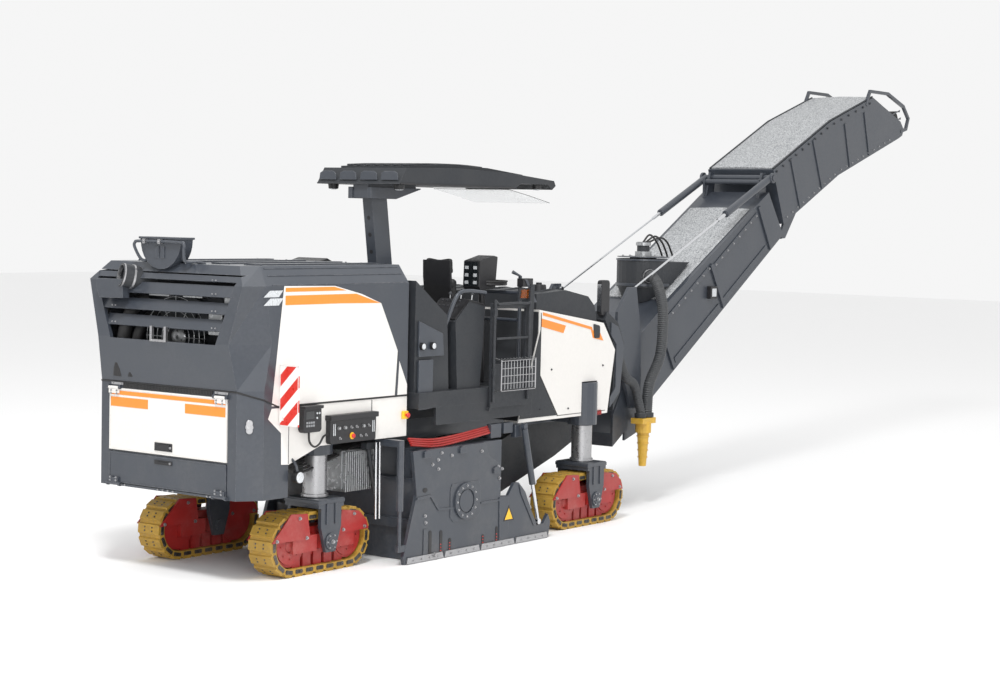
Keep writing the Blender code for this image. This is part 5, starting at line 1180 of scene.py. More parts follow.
FOLD = on_boom(BOOM_LENGTH + 0.0335, -0.0232)
JIB_ANGLE, TIP_ANGLE, JIB_DEPTH, JIB_BEND, JIB_TIP = radians(24.5), radians(17.6), 0.70, 1.50, 1.75
JIB_FOOT = FOLD + Vector((-0.03, 0, 0.13))
JIB_WAY = Vector((cos(JIB_ANGLE), 0, sin(JIB_ANGLE)))
JIB_UP = Vector((-sin(JIB_ANGLE), 0, cos(JIB_ANGLE)))
TIP_WAY = Vector((cos(TIP_ANGLE), 0, sin(TIP_ANGLE)))
TIP_UP = Vector((-sin(TIP_ANGLE), 0, cos(TIP_ANGLE)))
MIDDLE = (JIB_ANGLE + TIP_ANGLE) / 2
CREST = JIB_FOOT + JIB_WAY * JIB_BEND + Vector((-sin(MIDDLE), 0, cos(MIDDLE))) * JIB_DEPTH
JIB_TOP = JIB_FOOT + JIB_UP * JIB_DEPTH
TIP = JIB_FOOT + JIB_WAY * JIB_BEND + TIP_WAY * JIB_TIP
HEAD = CREST + TIP_WAY * 1.20


def cover_strip(part, stations, half, thick, sag=0.0):
    """Fabric cover through (point, up) stations, with its edges turned down."""
    rings = []
    for i, (spot, up) in enumerate(stations):
        lift = thick - (sag if i % 2 else 0.0)
        ring = [spot + Vector((0, y, 0)) + up * h for y, h in
                ((-half, 0.001), (-half - 0.006, thick * 0.5), (-half + 0.02, thick), (0.0, lift + 0.012),
                 (half - 0.02, thick), (half + 0.006, thick * 0.5), (half, 0.001))]
        rings.append(ring)
    part.loft(rings)


low_cover = Work()
top_line = [(on_boom(a, 0.74 - max(0.0, a - 1.45) * 0.12 / 2.77), UP) for a in (1.75, 2.1, 2.45, 2.8, 3.15,
                                                                                3.5, 3.80)]
cover_strip(low_cover, top_line, BOOM_HALF - 0.05, 0.012)
low_cover.done("lower_boom_cover", COVER, "boom")
jib_cover = Work()
first = [(JIB_TOP + (CREST - JIB_TOP) * t, JIB_UP) for t in (0.02, 0.2, 0.4, 0.6, 0.8, 0.97)]
second = [(CREST + (HEAD - CREST) * t, TIP_UP) for t in (0.04, 0.25, 0.5, 0.75, 0.985)]
cover_strip(jib_cover, first + second, BOOM_HALF - 0.03, 0.014)
jib_cover.done("jib_cover", COVER, "jib")
rails = Work()
for side in (-1, 1):
    y = side * (BOOM_HALF - 0.018)
    for start, end in ((JIB_TOP + JIB_WAY * 0.02, CREST), (CREST, HEAD)):
        rails.bar(start + Vector((0, y, 0.010)), end + Vector((0, y, 0.010)), 0.012, 8)
    for t in range(9):
        spot = JIB_TOP + (CREST - JIB_TOP) * (t + 0.5) / 9 + Vector((0, side * (BOOM_HALF + HAIR), -0.05))
        rails.bar(spot, spot + Vector((0, side * 0.012, 0)), 0.014, 10)
    for t in range(6):
        spot = CREST + (HEAD - CREST) * (t + 0.5) / 6 + Vector((0, side * (BOOM_HALF + HAIR), -0.05))
        rails.bar(spot, spot + Vector((0, side * 0.012, 0)), 0.014, 10)
rails.done("jib_rails", DARK, "jib")
print("covers laid on", len(top_line) + len(first) + len(second), "stations")

# %% Skirts, bolts and the belt
boom_trim, boom_bolts = Work(), Work()
for side in (-1, 1):
    face = side * (BOOM_HALF + HAIR)
    for a0, a1, u0, u1 in ((1.50, 2.60, 0.06, 0.12), (2.70, 3.85, 0.06, 0.12),
                           (1.55, 2.60, 0.56, 0.61), (2.70, 3.85, 0.52, 0.57)):
        corners = [on_boom(a0, u0), on_boom(a1, u0), on_boom(a1, u1), on_boom(a0, u1)]
        boom_trim.loft([[c + Vector((0, face, 0)) for c in corners],
                        [c + Vector((0, face + side * 0.012, 0)) for c in corners]])
    for a in (1.42, 2.65, 3.90):
        corners = [on_boom(a, 0.02), on_boom(a + 0.05, 0.02), on_boom(a + 0.05, 0.60), on_boom(a, 0.60)]
        boom_trim.loft([[c + Vector((0, face, 0)) for c in corners],
                        [c + Vector((0, face + side * 0.022, 0)) for c in corners]])
    for i in range(16):
        spot = on_boom(1.56 + i * 0.15, 0.585 if i < 8 else 0.545) + Vector((0, face + side * 0.012, 0))
        boom_bolts.bolt(spot, (0, side, 0), 0.013)
boom_trim.done("boom_trim", ANTHRACITE, "boom", 0.003)
boom_bolts.done("boom_bolts", STEEL, "boom")
print("lower boom skirts and bolts")

# %% Skirts and bolts of the jib
jib_trim, jib_bolts = Work(), Work()
for side in (-1, 1):
    face = side * (BOOM_HALF + HAIR)
    for i in range(10):
        spot = JIB_FOOT + JIB_WAY * (0.10 + i * 0.145) + JIB_UP * 0.05 + Vector((0, face, 0))
        jib_bolts.bolt(spot, (0, side, 0), 0.012)
        spot = JIB_FOOT + JIB_WAY * JIB_BEND + TIP_WAY * (0.08 + i * 0.155) + TIP_UP * 0.05 + Vector((0,
                                                                                                      face,
                                                                                                      0))
        jib_bolts.bolt(spot, (0, side, 0), 0.012)
    for a in (0.42, 1.02):
        corners = [JIB_FOOT + JIB_WAY * p + JIB_UP * q for p,
                   q in ((a, 0.02), (a + 0.045, 0.02), (a + 0.045, 0.66),
                                                                   (a, 0.66))]
        jib_trim.loft([[c + Vector((0, face, 0)) for c in corners],
                       [c + Vector((0, face + side * 0.014, 0)) for c in corners]])
    for a in (0.30, 0.85):
        corners = [JIB_FOOT + JIB_WAY * JIB_BEND + TIP_WAY * p + TIP_UP * q for p, q in
                   ((a, 0.02), (a + 0.045, 0.02), (a + 0.045, 0.58), (a, 0.58))]
        jib_trim.loft([[c + Vector((0, face, 0)) for c in corners],
                       [c + Vector((0, face + side * 0.014, 0)) for c in corners]])
jib_trim.done("jib_trim", ANTHRACITE, "jib", 0.003)
jib_bolts.done("jib_bolts", STEEL, "jib")
print("jib skirts and bolts")

# %% Belt, head roller and guard
belt = Work()
corners = ((0.5, -0.36), (4.2, -0.36), (4.2, 0.36), (0.5, 0.36))
belt.loft([[on_boom(a, up, y) for a, y in corners] for up in (-0.010, -0.0003)])
for i in range(24):
    belt.bar(on_boom(0.58 + i * 0.15, -0.016, -0.33), on_boom(0.58 + i * 0.15, -0.016, 0.33), 0.008, 6)
belt.done("boom_belt", RUBBER, "boom")
end_roll = Work()
roll = TIP + TIP_WAY * 0.02 + TIP_UP * 0.24
end_roll.bar(roll + Vector((0, -0.40, 0)), roll + Vector((0, 0.40, 0)), 0.115, 24)
end_roll.done("head_roller", RUBBER, "jib", 0.004)
guard = Work()
for side in (-1, 1):
    for h in (0.14, 0.24, 0.34):
        guard.tube([TIP + TIP_WAY * d + TIP_UP * h + Vector((0, side * (BOOM_HALF - 0.012), 0)) for d in
                    (-0.10, 0.04, 0.14)], 0.007, 6)
for h in (0.12, 0.22, 0.32):
    guard.tube([TIP + TIP_WAY * 0.15 + TIP_UP * h + Vector((0, y, 0)) for y in (-BOOM_HALF + 0.02, 0,
                                                                                BOOM_HALF - 0.02)],
               0.008, 6)
guard.done("head_guard", ANTHRACITE, "jib")
print("boom and jib fittings")

# %% Crossbars, cylinder ends and lamp
CROSS = on_boom(BOOM_LENGTH + 0.0703, 0.7462)
frame_bars = Work()
frame_bars.bar(CROSS + Vector((-0.12, -0.44, -0.05)), CROSS + Vector((-0.12, 0.44, -0.05)), 0.028, 12)
for side in (-1, 1):
    frame_bars.ring(CROSS + Vector((0, side * (BOOM_HALF + 0.012), 0)), (0, side, 0), 0.062, 0.0355, 0.030,
                    20)
    frame_bars.box((CROSS.x - 0.16, CROSS.x - 0.04), (side * 0.375 - 0.012, side * 0.375 + 0.012),
                   (CROSS.z - 0.40, CROSS.z - 0.02))
frame_bars.done("cross_frame", ANTHRACITE, "boom", 0.003)
lamp = Work()
lamp.box((5.26, 5.40), (-0.505, -0.4505), (2.20, 2.34))
lamp.done("boom_lamp_box", PLASTIC, "boom", 0.006)
lamp_face = Work()
lamp_face.box((5.285, 5.375), (-0.508, -0.504), (2.225, 2.315))
lamp_face.done("boom_lamp_face", SILVER, "boom", 0.002)
print("crossbars and lamp")

# %% Fan drum, its disc, cap and bands
fan_top = Work()
fan_top.ring((4.56, -0.03, 2.6600), (0, 0, 1), 0.288, 0.152, 0.010, 40)
fan_top.ring((4.56, -0.03, 2.624), (0, 0, 1), 0.300, 0.2905, 0.020, 40)
fan_top.ring((4.56, -0.03, 2.344), (0, 0, 1), 0.302, 0.2905, 0.030, 40)
fan_top.done("fan_drum_bands", ANTHRACITE, "boom", 0.002)
fan_cap = Work()
fan_cap.ring((4.56, -0.03, 2.665), (0, 0, 1), 0.092, 0.0705, 0.060, 24)
fan_cap.ring((4.56, -0.03, 2.790), (0, 0, 1), 0.084, 0.0705, 0.036, 24)
fan_cap.done("fan_motor_rings", GALVANISED, "boom", 0.002)
fan_bolts = Work()
for i in range(10):
    turn = 2 * pi * i / 10
    fan_bolts.bolt((4.56 + 0.235 * cos(turn), -0.03 + 0.235 * sin(turn), 2.670), (0, 0, 1), 0.013)
fan_bolts.done("fan_drum_bolts", STEEL, "boom")
fan_lines = Work()
for i in range(3):
    y = -0.16 + 0.07 * i
    fan_lines.tube(smooth([(4.58, y * 0.4, 2.82), (4.70, y, 2.88 + 0.015 * i), (4.88, y + 0.02, 2.83),
                           (5.02, y + 0.05, 2.72),
                           (5.10, y + 0.08, 2.665)], 5), 0.011, 8)
fan_lines.done("fan_hoses", RUBBER, "boom")
print("fan drum fittings")

# %% [markdown]
# ## Suction hoses
# Two ribbed hoses carry dust from the housing to the fan drum and meet in the
# yellow nozzle. Each is a tube swept along the same smooth route as its CAD
# solid, swelling at every rib.

# %% Ribbed hoses
RIB_PITCH = 0.022


def hose_route(start, out, middle, end, into, radius):
    inner = [start + out * radius * 1.5] + [Vector(p) for p in middle] + [end - into * radius * 1.5]
    return [start] + smooth(inner, 4) + [end]


def even(route, gap):
    """Points a fixed distance apart along a route."""
    out, left = [Vector(route[0])], gap
    for a, b in zip(route, route[1:]):
        run = (b - a).length
        way = (b - a).normalized()
        spot = 0.0
        while run - spot >= left:
            spot += left
            out.append(a + way * spot)
            left = gap
        left -= run - spot
    if (out[-1] - route[-1]).length > gap * 0.3:
        out.append(Vector(route[-1]))
    return out


def ribbed_hose(name, route, radius, node):
    points = even(route, RIB_PITCH / 4)
    swell = (0.90, 0.95, 0.995, 0.95)
    tube = Work()
    tube.tube(points, radius, 20, lambda i: swell[i % 4])
    piece = tube.done(name, HOSE, None)
    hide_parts(node)
    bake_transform(piece)
    line = even(route, 0.03)
    return piece


print("hose maker ready")

# %% Both hoses on their routes
FAN_OUT = Vector((cos(radians(226)), sin(radians(226)), 0))
FAN_PORT = Vector((4.56, -0.03, 2.46)) + FAN_OUT * 0.37
DOWN = Vector((0, 0, -1))
front_route = hose_route(FAN_PORT + FAN_OUT * HAIR, FAN_OUT,
                         [(4.16, -0.49, 2.36), (4.10, -0.60, 2.08), (4.02, -0.63, 1.63), (3.86, -0.60, 1.32)],
                         Vector((3.825, -0.60, 0.9603)), DOWN, 0.060)
REAR_START = Vector((2.9303, -0.70, 1.72))
rear_route = hose_route(REAR_START, Vector((1, 0, 0)),
                        [(REAR_START.x + 0.22, -0.66, 1.64), (REAR_START.x + 0.40, -0.64, 1.42),
                         (3.56, -0.60, 1.32)],
                        Vector((3.70, -0.60, 0.9603)), DOWN, 0.050)
ribbed_hose("front_ribbed_hose", front_route, 0.060, "suction_hose_front")
ribbed_hose("rear_ribbed_hose", rear_route, 0.050, "suction_hose_rear")
print("hoses laid")

# %% Hose clamps and nozzle bands
cuffs = Work()
cuffs.ring(FAN_PORT - FAN_OUT * 0.06, FAN_OUT, 0.0740, 0.0684, 0.045, 24)
cuffs.done("fan_port_clamp", STEEL, "boom", 0.002)
cuffs = Work()
cuffs.ring((2.872, -0.70, 1.72), (1, 0, 0), 0.0640, 0.0584, 0.040, 24)
cuffs.done("rear_port_clamp", STEEL, "machine", 0.002)
cuffs = Work()
for x, radius in ((3.825, 0.074), (3.70, 0.064)):
    cuffs.ring((x, -0.60, 0.9650), (0, 0, 1), radius, radius - 0.0125, 0.045, 24)
cuffs.done("nozzle_cuffs", DARK, "slewing_foot", 0.002)
grip = Work()
for i in range(5):
    z = 0.83 - 0.075 * i
    grip.ring((3.76, -0.60, z), (0, 0, 1), 0.0705 - 0.005 * i + 0.004, 0.0655 - 0.0052 * i + 0.0045, 0.012,
              24)
grip.done("nozzle_bands", YELLOW, "slewing_foot", 0.002)
print("two ribbed hoses with clamps")

# %% [markdown]
# ## Operator's seat
# The seat is black vinyl over foam. Each pad starts as a slightly small
# rounded block, is blown up like a cushion by a short cloth simulation and
# then gets its piping. Sculpting by hand would do too, but the simulation
# gives the crowned middle and pulled-in sides for nothing.

# %% Cushions
SEAT = Vector((0.52, -0.34, 2.06))
PAD_VOXEL = 0.006
PAD_FRAMES = 20


def pad_block(name, outline, low, high):
    """Rounded block: an outline in x-z pushed along y, drawn in towards both ends."""
    middle = sum((Vector((x, 0, z)) for x, z in outline), Vector()) / len(outline)
    part = Work()
    rings = []
    for t, size in ((0.0, 0.86), (0.04, 0.94), (0.12, 0.985), (0.35, 1.0), (0.65, 1.0), (0.88, 0.985),
                    (0.96, 0.94),
                    (1.0, 0.86)):
        y = low + (high - low) * t
        rings.append([Vector((middle.x + (x - middle.x) * size, y, middle.z + (z - middle.z) * size))
                      for x, z in outline])
    part.loft(rings)
    return part.done(name, VINYL, None)


print("cushion blocks ready")

# %% Cushion simulation
def blow_up(piece, cap, pressure=4.0):
    """Cloth pressure on the closed pad, with no point moving more than the cap."""
    bpy.context.view_layer.objects.active = piece
    for other in bpy.context.selected_objects:
        other.select_set(False)
    piece.select_set(True)
    remesh = piece.modifiers.new("Remesh", "REMESH")
    remesh.mode = "VOXEL"
    remesh.voxel_size = PAD_VOXEL
    bpy.ops.object.modifier_apply(modifier="Remesh")
    start = [v.co.copy() for v in piece.data.vertices]
    cloth = piece.modifiers.new("Cloth", "CLOTH")
    cloth.settings.quality = 4
    cloth.settings.use_pressure = True
    cloth.settings.uniform_pressure_force = pressure
    cloth.settings.effector_weights.gravity = 0.0
    cloth.settings.tension_stiffness = 20
    cloth.settings.compression_stiffness = 20
    cloth.settings.bending_stiffness = 2.0
    cloth.point_cache.frame_start = 1
    cloth.point_cache.frame_end = PAD_FRAMES
    scene = bpy.context.scene
    for frame_number in range(1, PAD_FRAMES + 1):
        scene.frame_set(frame_number)
    bpy.ops.object.modifier_apply(modifier="Cloth")
    scene.frame_set(1)
    for vertex, home in zip(piece.data.vertices, start):
        moved = vertex.co - home
        if moved.length > cap:
            vertex.co = home + moved.normalized() * cap
    smoother = piece.modifiers.new("Smooth", "SMOOTH")
    smoother.iterations = 3
    bpy.ops.object.modifier_apply(modifier="Smooth")
    piece.data.shade_smooth()
    return piece


def seat_pad(name, outline, low, high, cap, fill):
    piece = blow_up(pad_block(name, outline, low, high), cap)
    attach(piece, "machine")
    return piece


def rounded(corners, radius, steps=3):
    """Outline with its corners cut round."""
    out = []
    for i, corner in enumerate(corners):
        here = Vector(corner)
        before, after = Vector(corners[i - 1]), Vector(corners[(i + 1) % len(corners)])
        a, b = here + (before - here).normalized() * radius, here + (after - here).normalized() * radius
        for k in range(steps + 1):
            t = k / steps
            out.append((1 - t) ** 2 * a + 2 * t * (1 - t) * here + t * t * b)
    return [(p.x, p.y) for p in out]


print("simulation ready")

# %% Seat pads
X, Y, Z = SEAT
pads = [
    seat_pad("seat_base_cushion", rounded([(X + 0.095, Z + 0.016), (X + 0.445, Z + 0.016),
                                           (X + 0.445, Z + 0.092),
                                           (X + 0.095, Z + 0.080)], 0.028), Y - 0.195, Y + 0.195, 0.018, 0.7),
    seat_pad("seat_back_cushion", rounded([(X + 0.006, Z + 0.110), (X + 0.078, Z + 0.110),
                                           (X + 0.028, Z + 0.440),
                                           (X - 0.032, Z + 0.440)], 0.025), Y - 0.190, Y + 0.190, 0.016, 0.7),
    seat_pad("seat_head_cushion", rounded([(X - 0.026, Z + 0.470), (X + 0.026, Z + 0.470),
                                           (X + 0.012, Z + 0.620),
                                           (X - 0.034, Z + 0.620)], 0.022), Y - 0.150, Y + 0.150, 0.016, 0.7)]
for side, name in ((-1, "right"), (1, "left")):
    low = Y + side * 0.208
    pads.append(seat_pad("seat_arm_pad_" + name,
                         rounded([(X + 0.10, Z + 0.088), (X + 0.40, Z + 0.088), (X + 0.40, Z + 0.116),
                                  (X + 0.10, Z + 0.116)], 0.012),
                         *sorted((low - side * 0.028, low + side * 0.010)), 0.008, 0.8))
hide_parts("operator_seat")
print("pads made")

# %% Piping, shell and bellows
piping = Work()
for y in (Y - 0.10, Y + 0.10):
    piping.tube(smooth([(X + 0.115, y, Z + 0.090), (X + 0.20, y, Z + 0.1115), (X + 0.32, y, Z + 0.1165),
                        (X + 0.43, y, Z + 0.104)], 4), 0.0035, 6)
for z in (0.21, 0.30):
    t = (z - 0.110) / 0.33
    x = X + 0.085 - 0.045 * t
    piping.tube(smooth([(x - 0.006, Y - 0.17, Z + z), (x + 0.008, Y - 0.08, Z + z), (x + 0.010, Y, Z + z),
                        (x + 0.008, Y + 0.08, Z + z), (x - 0.006, Y + 0.17, Z + z)], 4), 0.0035, 6)
piping.done("seat_piping", RUBBER, "machine")
shell = Work()
back = [(X + 0.000, Z + 0.085), (X + 0.016, Z + 0.085), (X - 0.036, Z + 0.600), (X - 0.055, Z + 0.600),
        (X - 0.050, Z + 0.440)]
shell.prism(back, "y", Y - 0.165, Y + 0.165)
shell.box((X + 0.050, X + 0.42), (Y - 0.185, Y + 0.185), (Z + 0.0005, Z + 0.014))
for side in (-1, 1):
    shell.bar((X + 0.03, Y + side * 0.203, Z + 0.03), (X + 0.36, Y + side * 0.203, Z + 0.075), 0.010, 8)
    shell.box((X + 0.02, X + 0.07), (Y + side * 0.203 - 0.009, Y + side * 0.203 + 0.009),
              (Z + 0.005, Z + 0.10))
    shell.box((X + 0.10, X + 0.38), (Y + side * 0.198 - 0.008, Y + side * 0.198 + 0.008),
              (Z + 0.060, Z + 0.086))
shell.done("seat_shell", PLASTIC, "machine", 0.004)
bellows = Work()
rings = []
for i in range(15):
    z = 1.93 + 0.072 * i / 14 * 0.97
    wide = 0.115 if i % 2 else 0.100
    rings.append([Vector((X + 0.22 + wide * a, Y + wide * b, z)) for a,
                  b in ((-1, -1), (1, -1), (1, 1), (-1, 1))])
bellows.loft(rings)
bellows.done("seat_bellows", RUBBER, "machine")
print("seat pads:", len(pads))

# %% [markdown]
# ## Canopy
# The roof is a moulded shell: a lighter rear face with four scallops, a ribbed
# crown, two round lamps under the rear edge and a clear visor in front.

# %% Canopy shell details
ROOF_Z = 3.36
shell_rear = Work()
for i in range(4):
    y = -0.375 + 0.25 * i
    shell_rear.prism([(y - 0.105, ROOF_Z + 0.035), (y + 0.105, ROOF_Z + 0.035), (y + 0.095, ROOF_Z + 0.100),
                      (y + 0.060, ROOF_Z + 0.118), (y - 0.060, ROOF_Z + 0.118),
                      (y - 0.095, ROOF_Z + 0.100)], "x",
                     -0.285, -0.296)
shell_rear.done("canopy_scallops", ANTHRACITE, "canopy", 0.006)
crown_ribs = Work()
for i in range(7):
    y = -0.33 + 0.11 * i
    crown_ribs.tube(smooth([(-0.06, y, ROOF_Z + 0.180), (0.30, y, ROOF_Z + 0.198), (0.80, y, ROOF_Z + 0.203),
                            (1.15, y, ROOF_Z + 0.190)], 3), 0.012, 6)
crown_ribs.done("canopy_crown_ribs", DARK, "canopy")
edge_trim = Work()
for side in (-1, 1):
    edge_trim.tube(smooth([(-0.29, side * 0.503, ROOF_Z + 0.004), (0.6, side * 0.505, ROOF_Z + 0.004),
                           (1.45, side * 0.503, ROOF_Z + 0.004)], 4), 0.008, 6)
edge_trim.done("canopy_edge_trim", PLASTIC, "canopy")
print("canopy shell")

# %% Roof lamps, visor and post
roof_lamps, roof_glass = Work(), Work()
for x, y in ((-0.18, -0.40), (-0.18, 0.40), (1.95, -0.42), (1.95, 0.42)):
    z = ROOF_Z - 0.002 if x < 1 else ROOF_Z + 0.045
    roof_lamps.bar((x, y, z), (x, y, z - 0.045), 0.052, 20, 0.046)
    roof_glass.dome((x, y, z - 0.045), (0, 0, -1), 0.042, 0.010)
roof_lamps.done("canopy_lamp_rims", PLASTIC, "canopy", 0.003)
roof_glass.done("canopy_lamp_glass", SILVER, "canopy")
visor = Work()
visor.loft([[Vector((x, y, z)) for x, y, z in row] for row in
            [[(1.42, -0.47, 3.345), (1.42, 0.47, 3.345), (1.42, 0.47, 3.351), (1.42, -0.47, 3.351)],
             [(1.75, -0.48, 3.290), (1.75, 0.48, 3.290), (1.75, 0.48, 3.296), (1.75, -0.48, 3.296)],
             [(2.10, -0.48, 3.225), (2.10, 0.48, 3.225), (2.10, 0.48, 3.231), (2.10, -0.48, 3.231)]]])
visor.done("canopy_visor", CLEAR, "canopy")
post_trim = Work()
lean = Vector((-sin(radians(8.5)), 0, cos(radians(8.5))))
post_top = Vector((-0.055, 0, 3.26))
side_way = Vector((lean.z, 0, -lean.x))
for i in range(4):
    spot = post_top - lean * (0.20 + 0.16 * i) - side_way * 0.1090
    post_trim.bar(spot, spot - side_way * 0.0014, 0.020, 16)
post_trim.done("post_holes", PLASTIC, "canopy")
bracket = Work()
bracket.prism([(-0.27, 3.225), (0.10, 3.225), (0.46, 3.322), (0.46, 3.332), (-0.27, 3.332)], "y", -0.14,
              -0.0905)
bracket.prism([(-0.27, 3.225), (0.10, 3.225), (0.46, 3.322), (0.46, 3.332), (-0.27, 3.332)], "y", 0.0905,
              0.14)
bracket.done("roof_bracket_cheeks", ANTHRACITE, "canopy", 0.004)
print("canopy fittings")

# %% [markdown]
# ## Operator's stand
# Consoles with levers and screens stand on both sides of the seat. The gate
# has a wire basket, and behind it a slanted panel with a reflector.

# %% Consoles, screens and steering disc
tops = Work()
for side in (-1, 1):
    y0, y1 = sorted((side * 0.63, side * 0.97))
    tops.prism([(-0.02, 2.125), (0.17, 2.300), (0.39, 2.252), (0.395, 2.272), (0.175, 2.322),
                (-0.032, 2.142)], "y", y0,
               y1)
tops.done("console_tops", PLASTIC, "machine", 0.005)
tubs = Work()
tubs.prism([(-0.50, 2.30), (-0.10, 2.30), (-0.06, 2.44), (-0.10, 2.58), (-0.30, 2.66), (-0.46, 2.62),
            (-0.52, 2.50)], "y",
           0.34, 0.74)
tubs.done("instrument_hood", PLASTIC, "machine", 0.02)
sticks, balls = Work(), Work()
for side in (-1, 1):
    for i in range(3):
        x, y = 0.22 + 0.05 * i, side * (0.70 + 0.09 * i)
        sticks.bar((x, y, 2.295), (x + 0.012, y, 2.36), 0.006, 8)
        balls.dome((x + 0.012, y, 2.355), (0, 0, 1), 0.018, 0.026)
    for i in range(5):
        for j in range(2):
            balls.bar((0.10 + 0.05 * j, side * (0.68 + 0.05 * i), 2.240 + 0.046 * j),
                      (0.095 + 0.05 * j, side * (0.68 + 0.05 * i), 2.262 + 0.046 * j), 0.010, 10)
sticks.done("lever_stems", CHROME, "machine")
balls.done("lever_knobs", DARK, "machine", 0.002)
mast = Work()
mast.bar((0.86, -0.60, 1.5003), (0.84, -0.60, 2.42), 0.030, 12)
mast.prism([(0.70, 2.38), (0.93, 2.40), (0.96, 2.70), (0.90, 2.71), (0.68, 2.66), (0.67, 2.41)], "y", -0.70,
           -0.50)
mast.prism(circle((0.94, -0.58), 0.20, 28), "z", 2.425, 2.455)
mast.done("display_mast", PLASTIC, "machine", 0.010)
face = Work()
face.loft([[Vector((0.6705 - d, y, z)) for y, z in ((-0.685, 2.42), (-0.515, 2.42), (-0.515, 2.65),
                                                    (-0.685, 2.65))]
           for d in (-0.002, 0.003)])
face.done("display_face", SCREEN, "machine", 0.002)
rows = Work()
for i in range(3):
    for j in range(2):
        rows.box((0.664, 0.668), (-0.67 + 0.10 * j, -0.63 + 0.10 * j), (2.44 + 0.07 * i, 2.47 + 0.07 * i))
rows.done("display_keys", SILVER, "machine")
print("display")

# %% Steering rim
wheel = Work()
wheel.ring((0.94, -0.58, 2.455), (0, 0, 1), 0.205, 0.180, 0.018, 28)
wheel.done("steering_rim", RUBBER, "machine", 0.004)
print("consoles and displays")

# %% Rails, basket, gate panel and deck
rails = Work()
for side in (-1, 1):
    rails.tube(smooth([(-0.12, side * 0.93, 2.10), (-0.05, side * 1.00, 2.36), (0.10, side * 1.01, 2.40),
                       (0.36, side * 1.01, 2.38)], 4), 0.018, 10)
    rails.tube([(1.05, side * 0.90, 1.5003), (1.05, side * 0.90, 2.52), (0.98, side * 0.86, 2.56)], 0.018, 10)
    rails.tube([(1.05, side * 0.90, 2.36), (1.05, side * 0.30, 2.36)], 0.016, 10)
rails.tube([(1.04, -0.88, 2.10), (1.04, 0.88, 2.10)], 0.016, 10)
rails.done("stand_rails", ANTHRACITE, "machine")
deck_panel = Work()
for side in (-1, 1):
    deck_panel.prism([(-0.56, 1.345), (-0.36, 1.345), (-0.36, 1.79), (-0.56, 1.79)], "y", side * 0.9605,
                     side * 0.985)
    deck_panel.prism([(-0.56, 1.82), (-0.20, 1.82), (-0.22, 2.02), (-0.56, 2.14)], "y", side * 0.9605,
                     side * 0.980)
    deck_panel.prism([(1.175, 2.27), (1.22, 2.27), (1.06, 2.49), (1.02, 2.49)], "y", side * 0.975,
                     side * 0.984)
deck_panel.done("stand_side_panels", ANTHRACITE, "machine", 0.006)
key_box = Work()
key_box.box((1.00, 1.16), (-0.975, -0.90), (2.42, 2.50))
key_box.box((0.93, 1.13), (-0.983, -0.9755), (2.30, 2.41))
key_box.done("stand_key_box", PLASTIC, "machine", 0.006)
reflector = Work()
reflector.prism([(0.95, 2.315), (1.11, 2.315), (1.09, 2.395), (0.965, 2.395)], "y", -0.9835, -0.9870)
reflector.done("stand_reflector", AMBER, "machine")
treads = Work()
for i in range(9):
    x = -0.50 + 0.18 * i
    treads.box((x, x + 0.05), (-0.90, 0.90), (1.5003, 1.505))
treads.done("deck_treads", DARK, "machine")
print("rails and deck")

# %% Side lamps, basket and gate frame
lamps_side, lamps_glow = Work(), Work()
for side in (-1, 1):
    for x in (-0.528, -0.381):
        lamps_side.bar((x, side * 0.9805, 1.914), (x, side * 1.010, 1.914), 0.034, 20)
        lamps_glow.dome((x, side * 1.009, 1.914), (0, side, 0), 0.027, 0.008)
lamps_side.done("stand_lamp_rims", PLASTIC, "machine", 0.002)
lamps_glow.done("stand_lamp_glass", SILVER, "machine")
basket = Work()
for i in range(12):
    x = 0.475 + i * 0.048
    basket.tube([(x, -1.050, 1.76), (x, -1.135, 1.74), (x, -1.135, 1.48), (x, -1.06, 1.46)], 0.003, 5)
for z in (1.46, 1.53, 1.60, 1.67, 1.74):
    basket.tube([(0.47, -1.135, z + 0.005), (1.005, -1.135, z + 0.005)], 0.0035, 5)
for x in (0.468, 1.008):
    basket.tube([(x, -1.054, 1.77), (x, -1.135, 1.755), (x, -1.135, 1.47), (x, -1.054, 1.455)], 0.006, 6)
basket.done("gate_basket", STEEL, "gate")
gate_trim = Work()
gate_trim.tube(smooth([(0.44, -1.066, 1.36), (0.44, -1.070, 2.24), (0.50, -1.070, 2.27), (0.95, -1.070, 2.27),
                       (0.98, -1.070, 2.20), (0.98, -1.066, 1.36)], 3), 0.014, 8)
gate_trim.tube([(0.47, -1.066, 1.95), (0.96, -1.066, 1.95)], 0.012, 8)
for z in (1.60, 2.16):
    gate_trim.box((0.425, 0.47), (-1.078, -1.0505), (z, z + 0.07))
gate_trim.done("gate_frame_tubes", DARK, "gate", 0.002)
print("gate, basket and rails")

# %% [markdown]
# ## Front hood
# Two orange stripes run down towards the nose, with a latch, a ribbed breather
# dome, mirrors and lamp consoles in front.

# %% Front hood stripes, latch, seams and lid
HOOD_FACE = 0.9005


def hood_patch(part, corners, out=0.002):
    for side in (-1, 1):
        part.prism(corners, "y", side * HOOD_FACE, side * (HOOD_FACE + out))


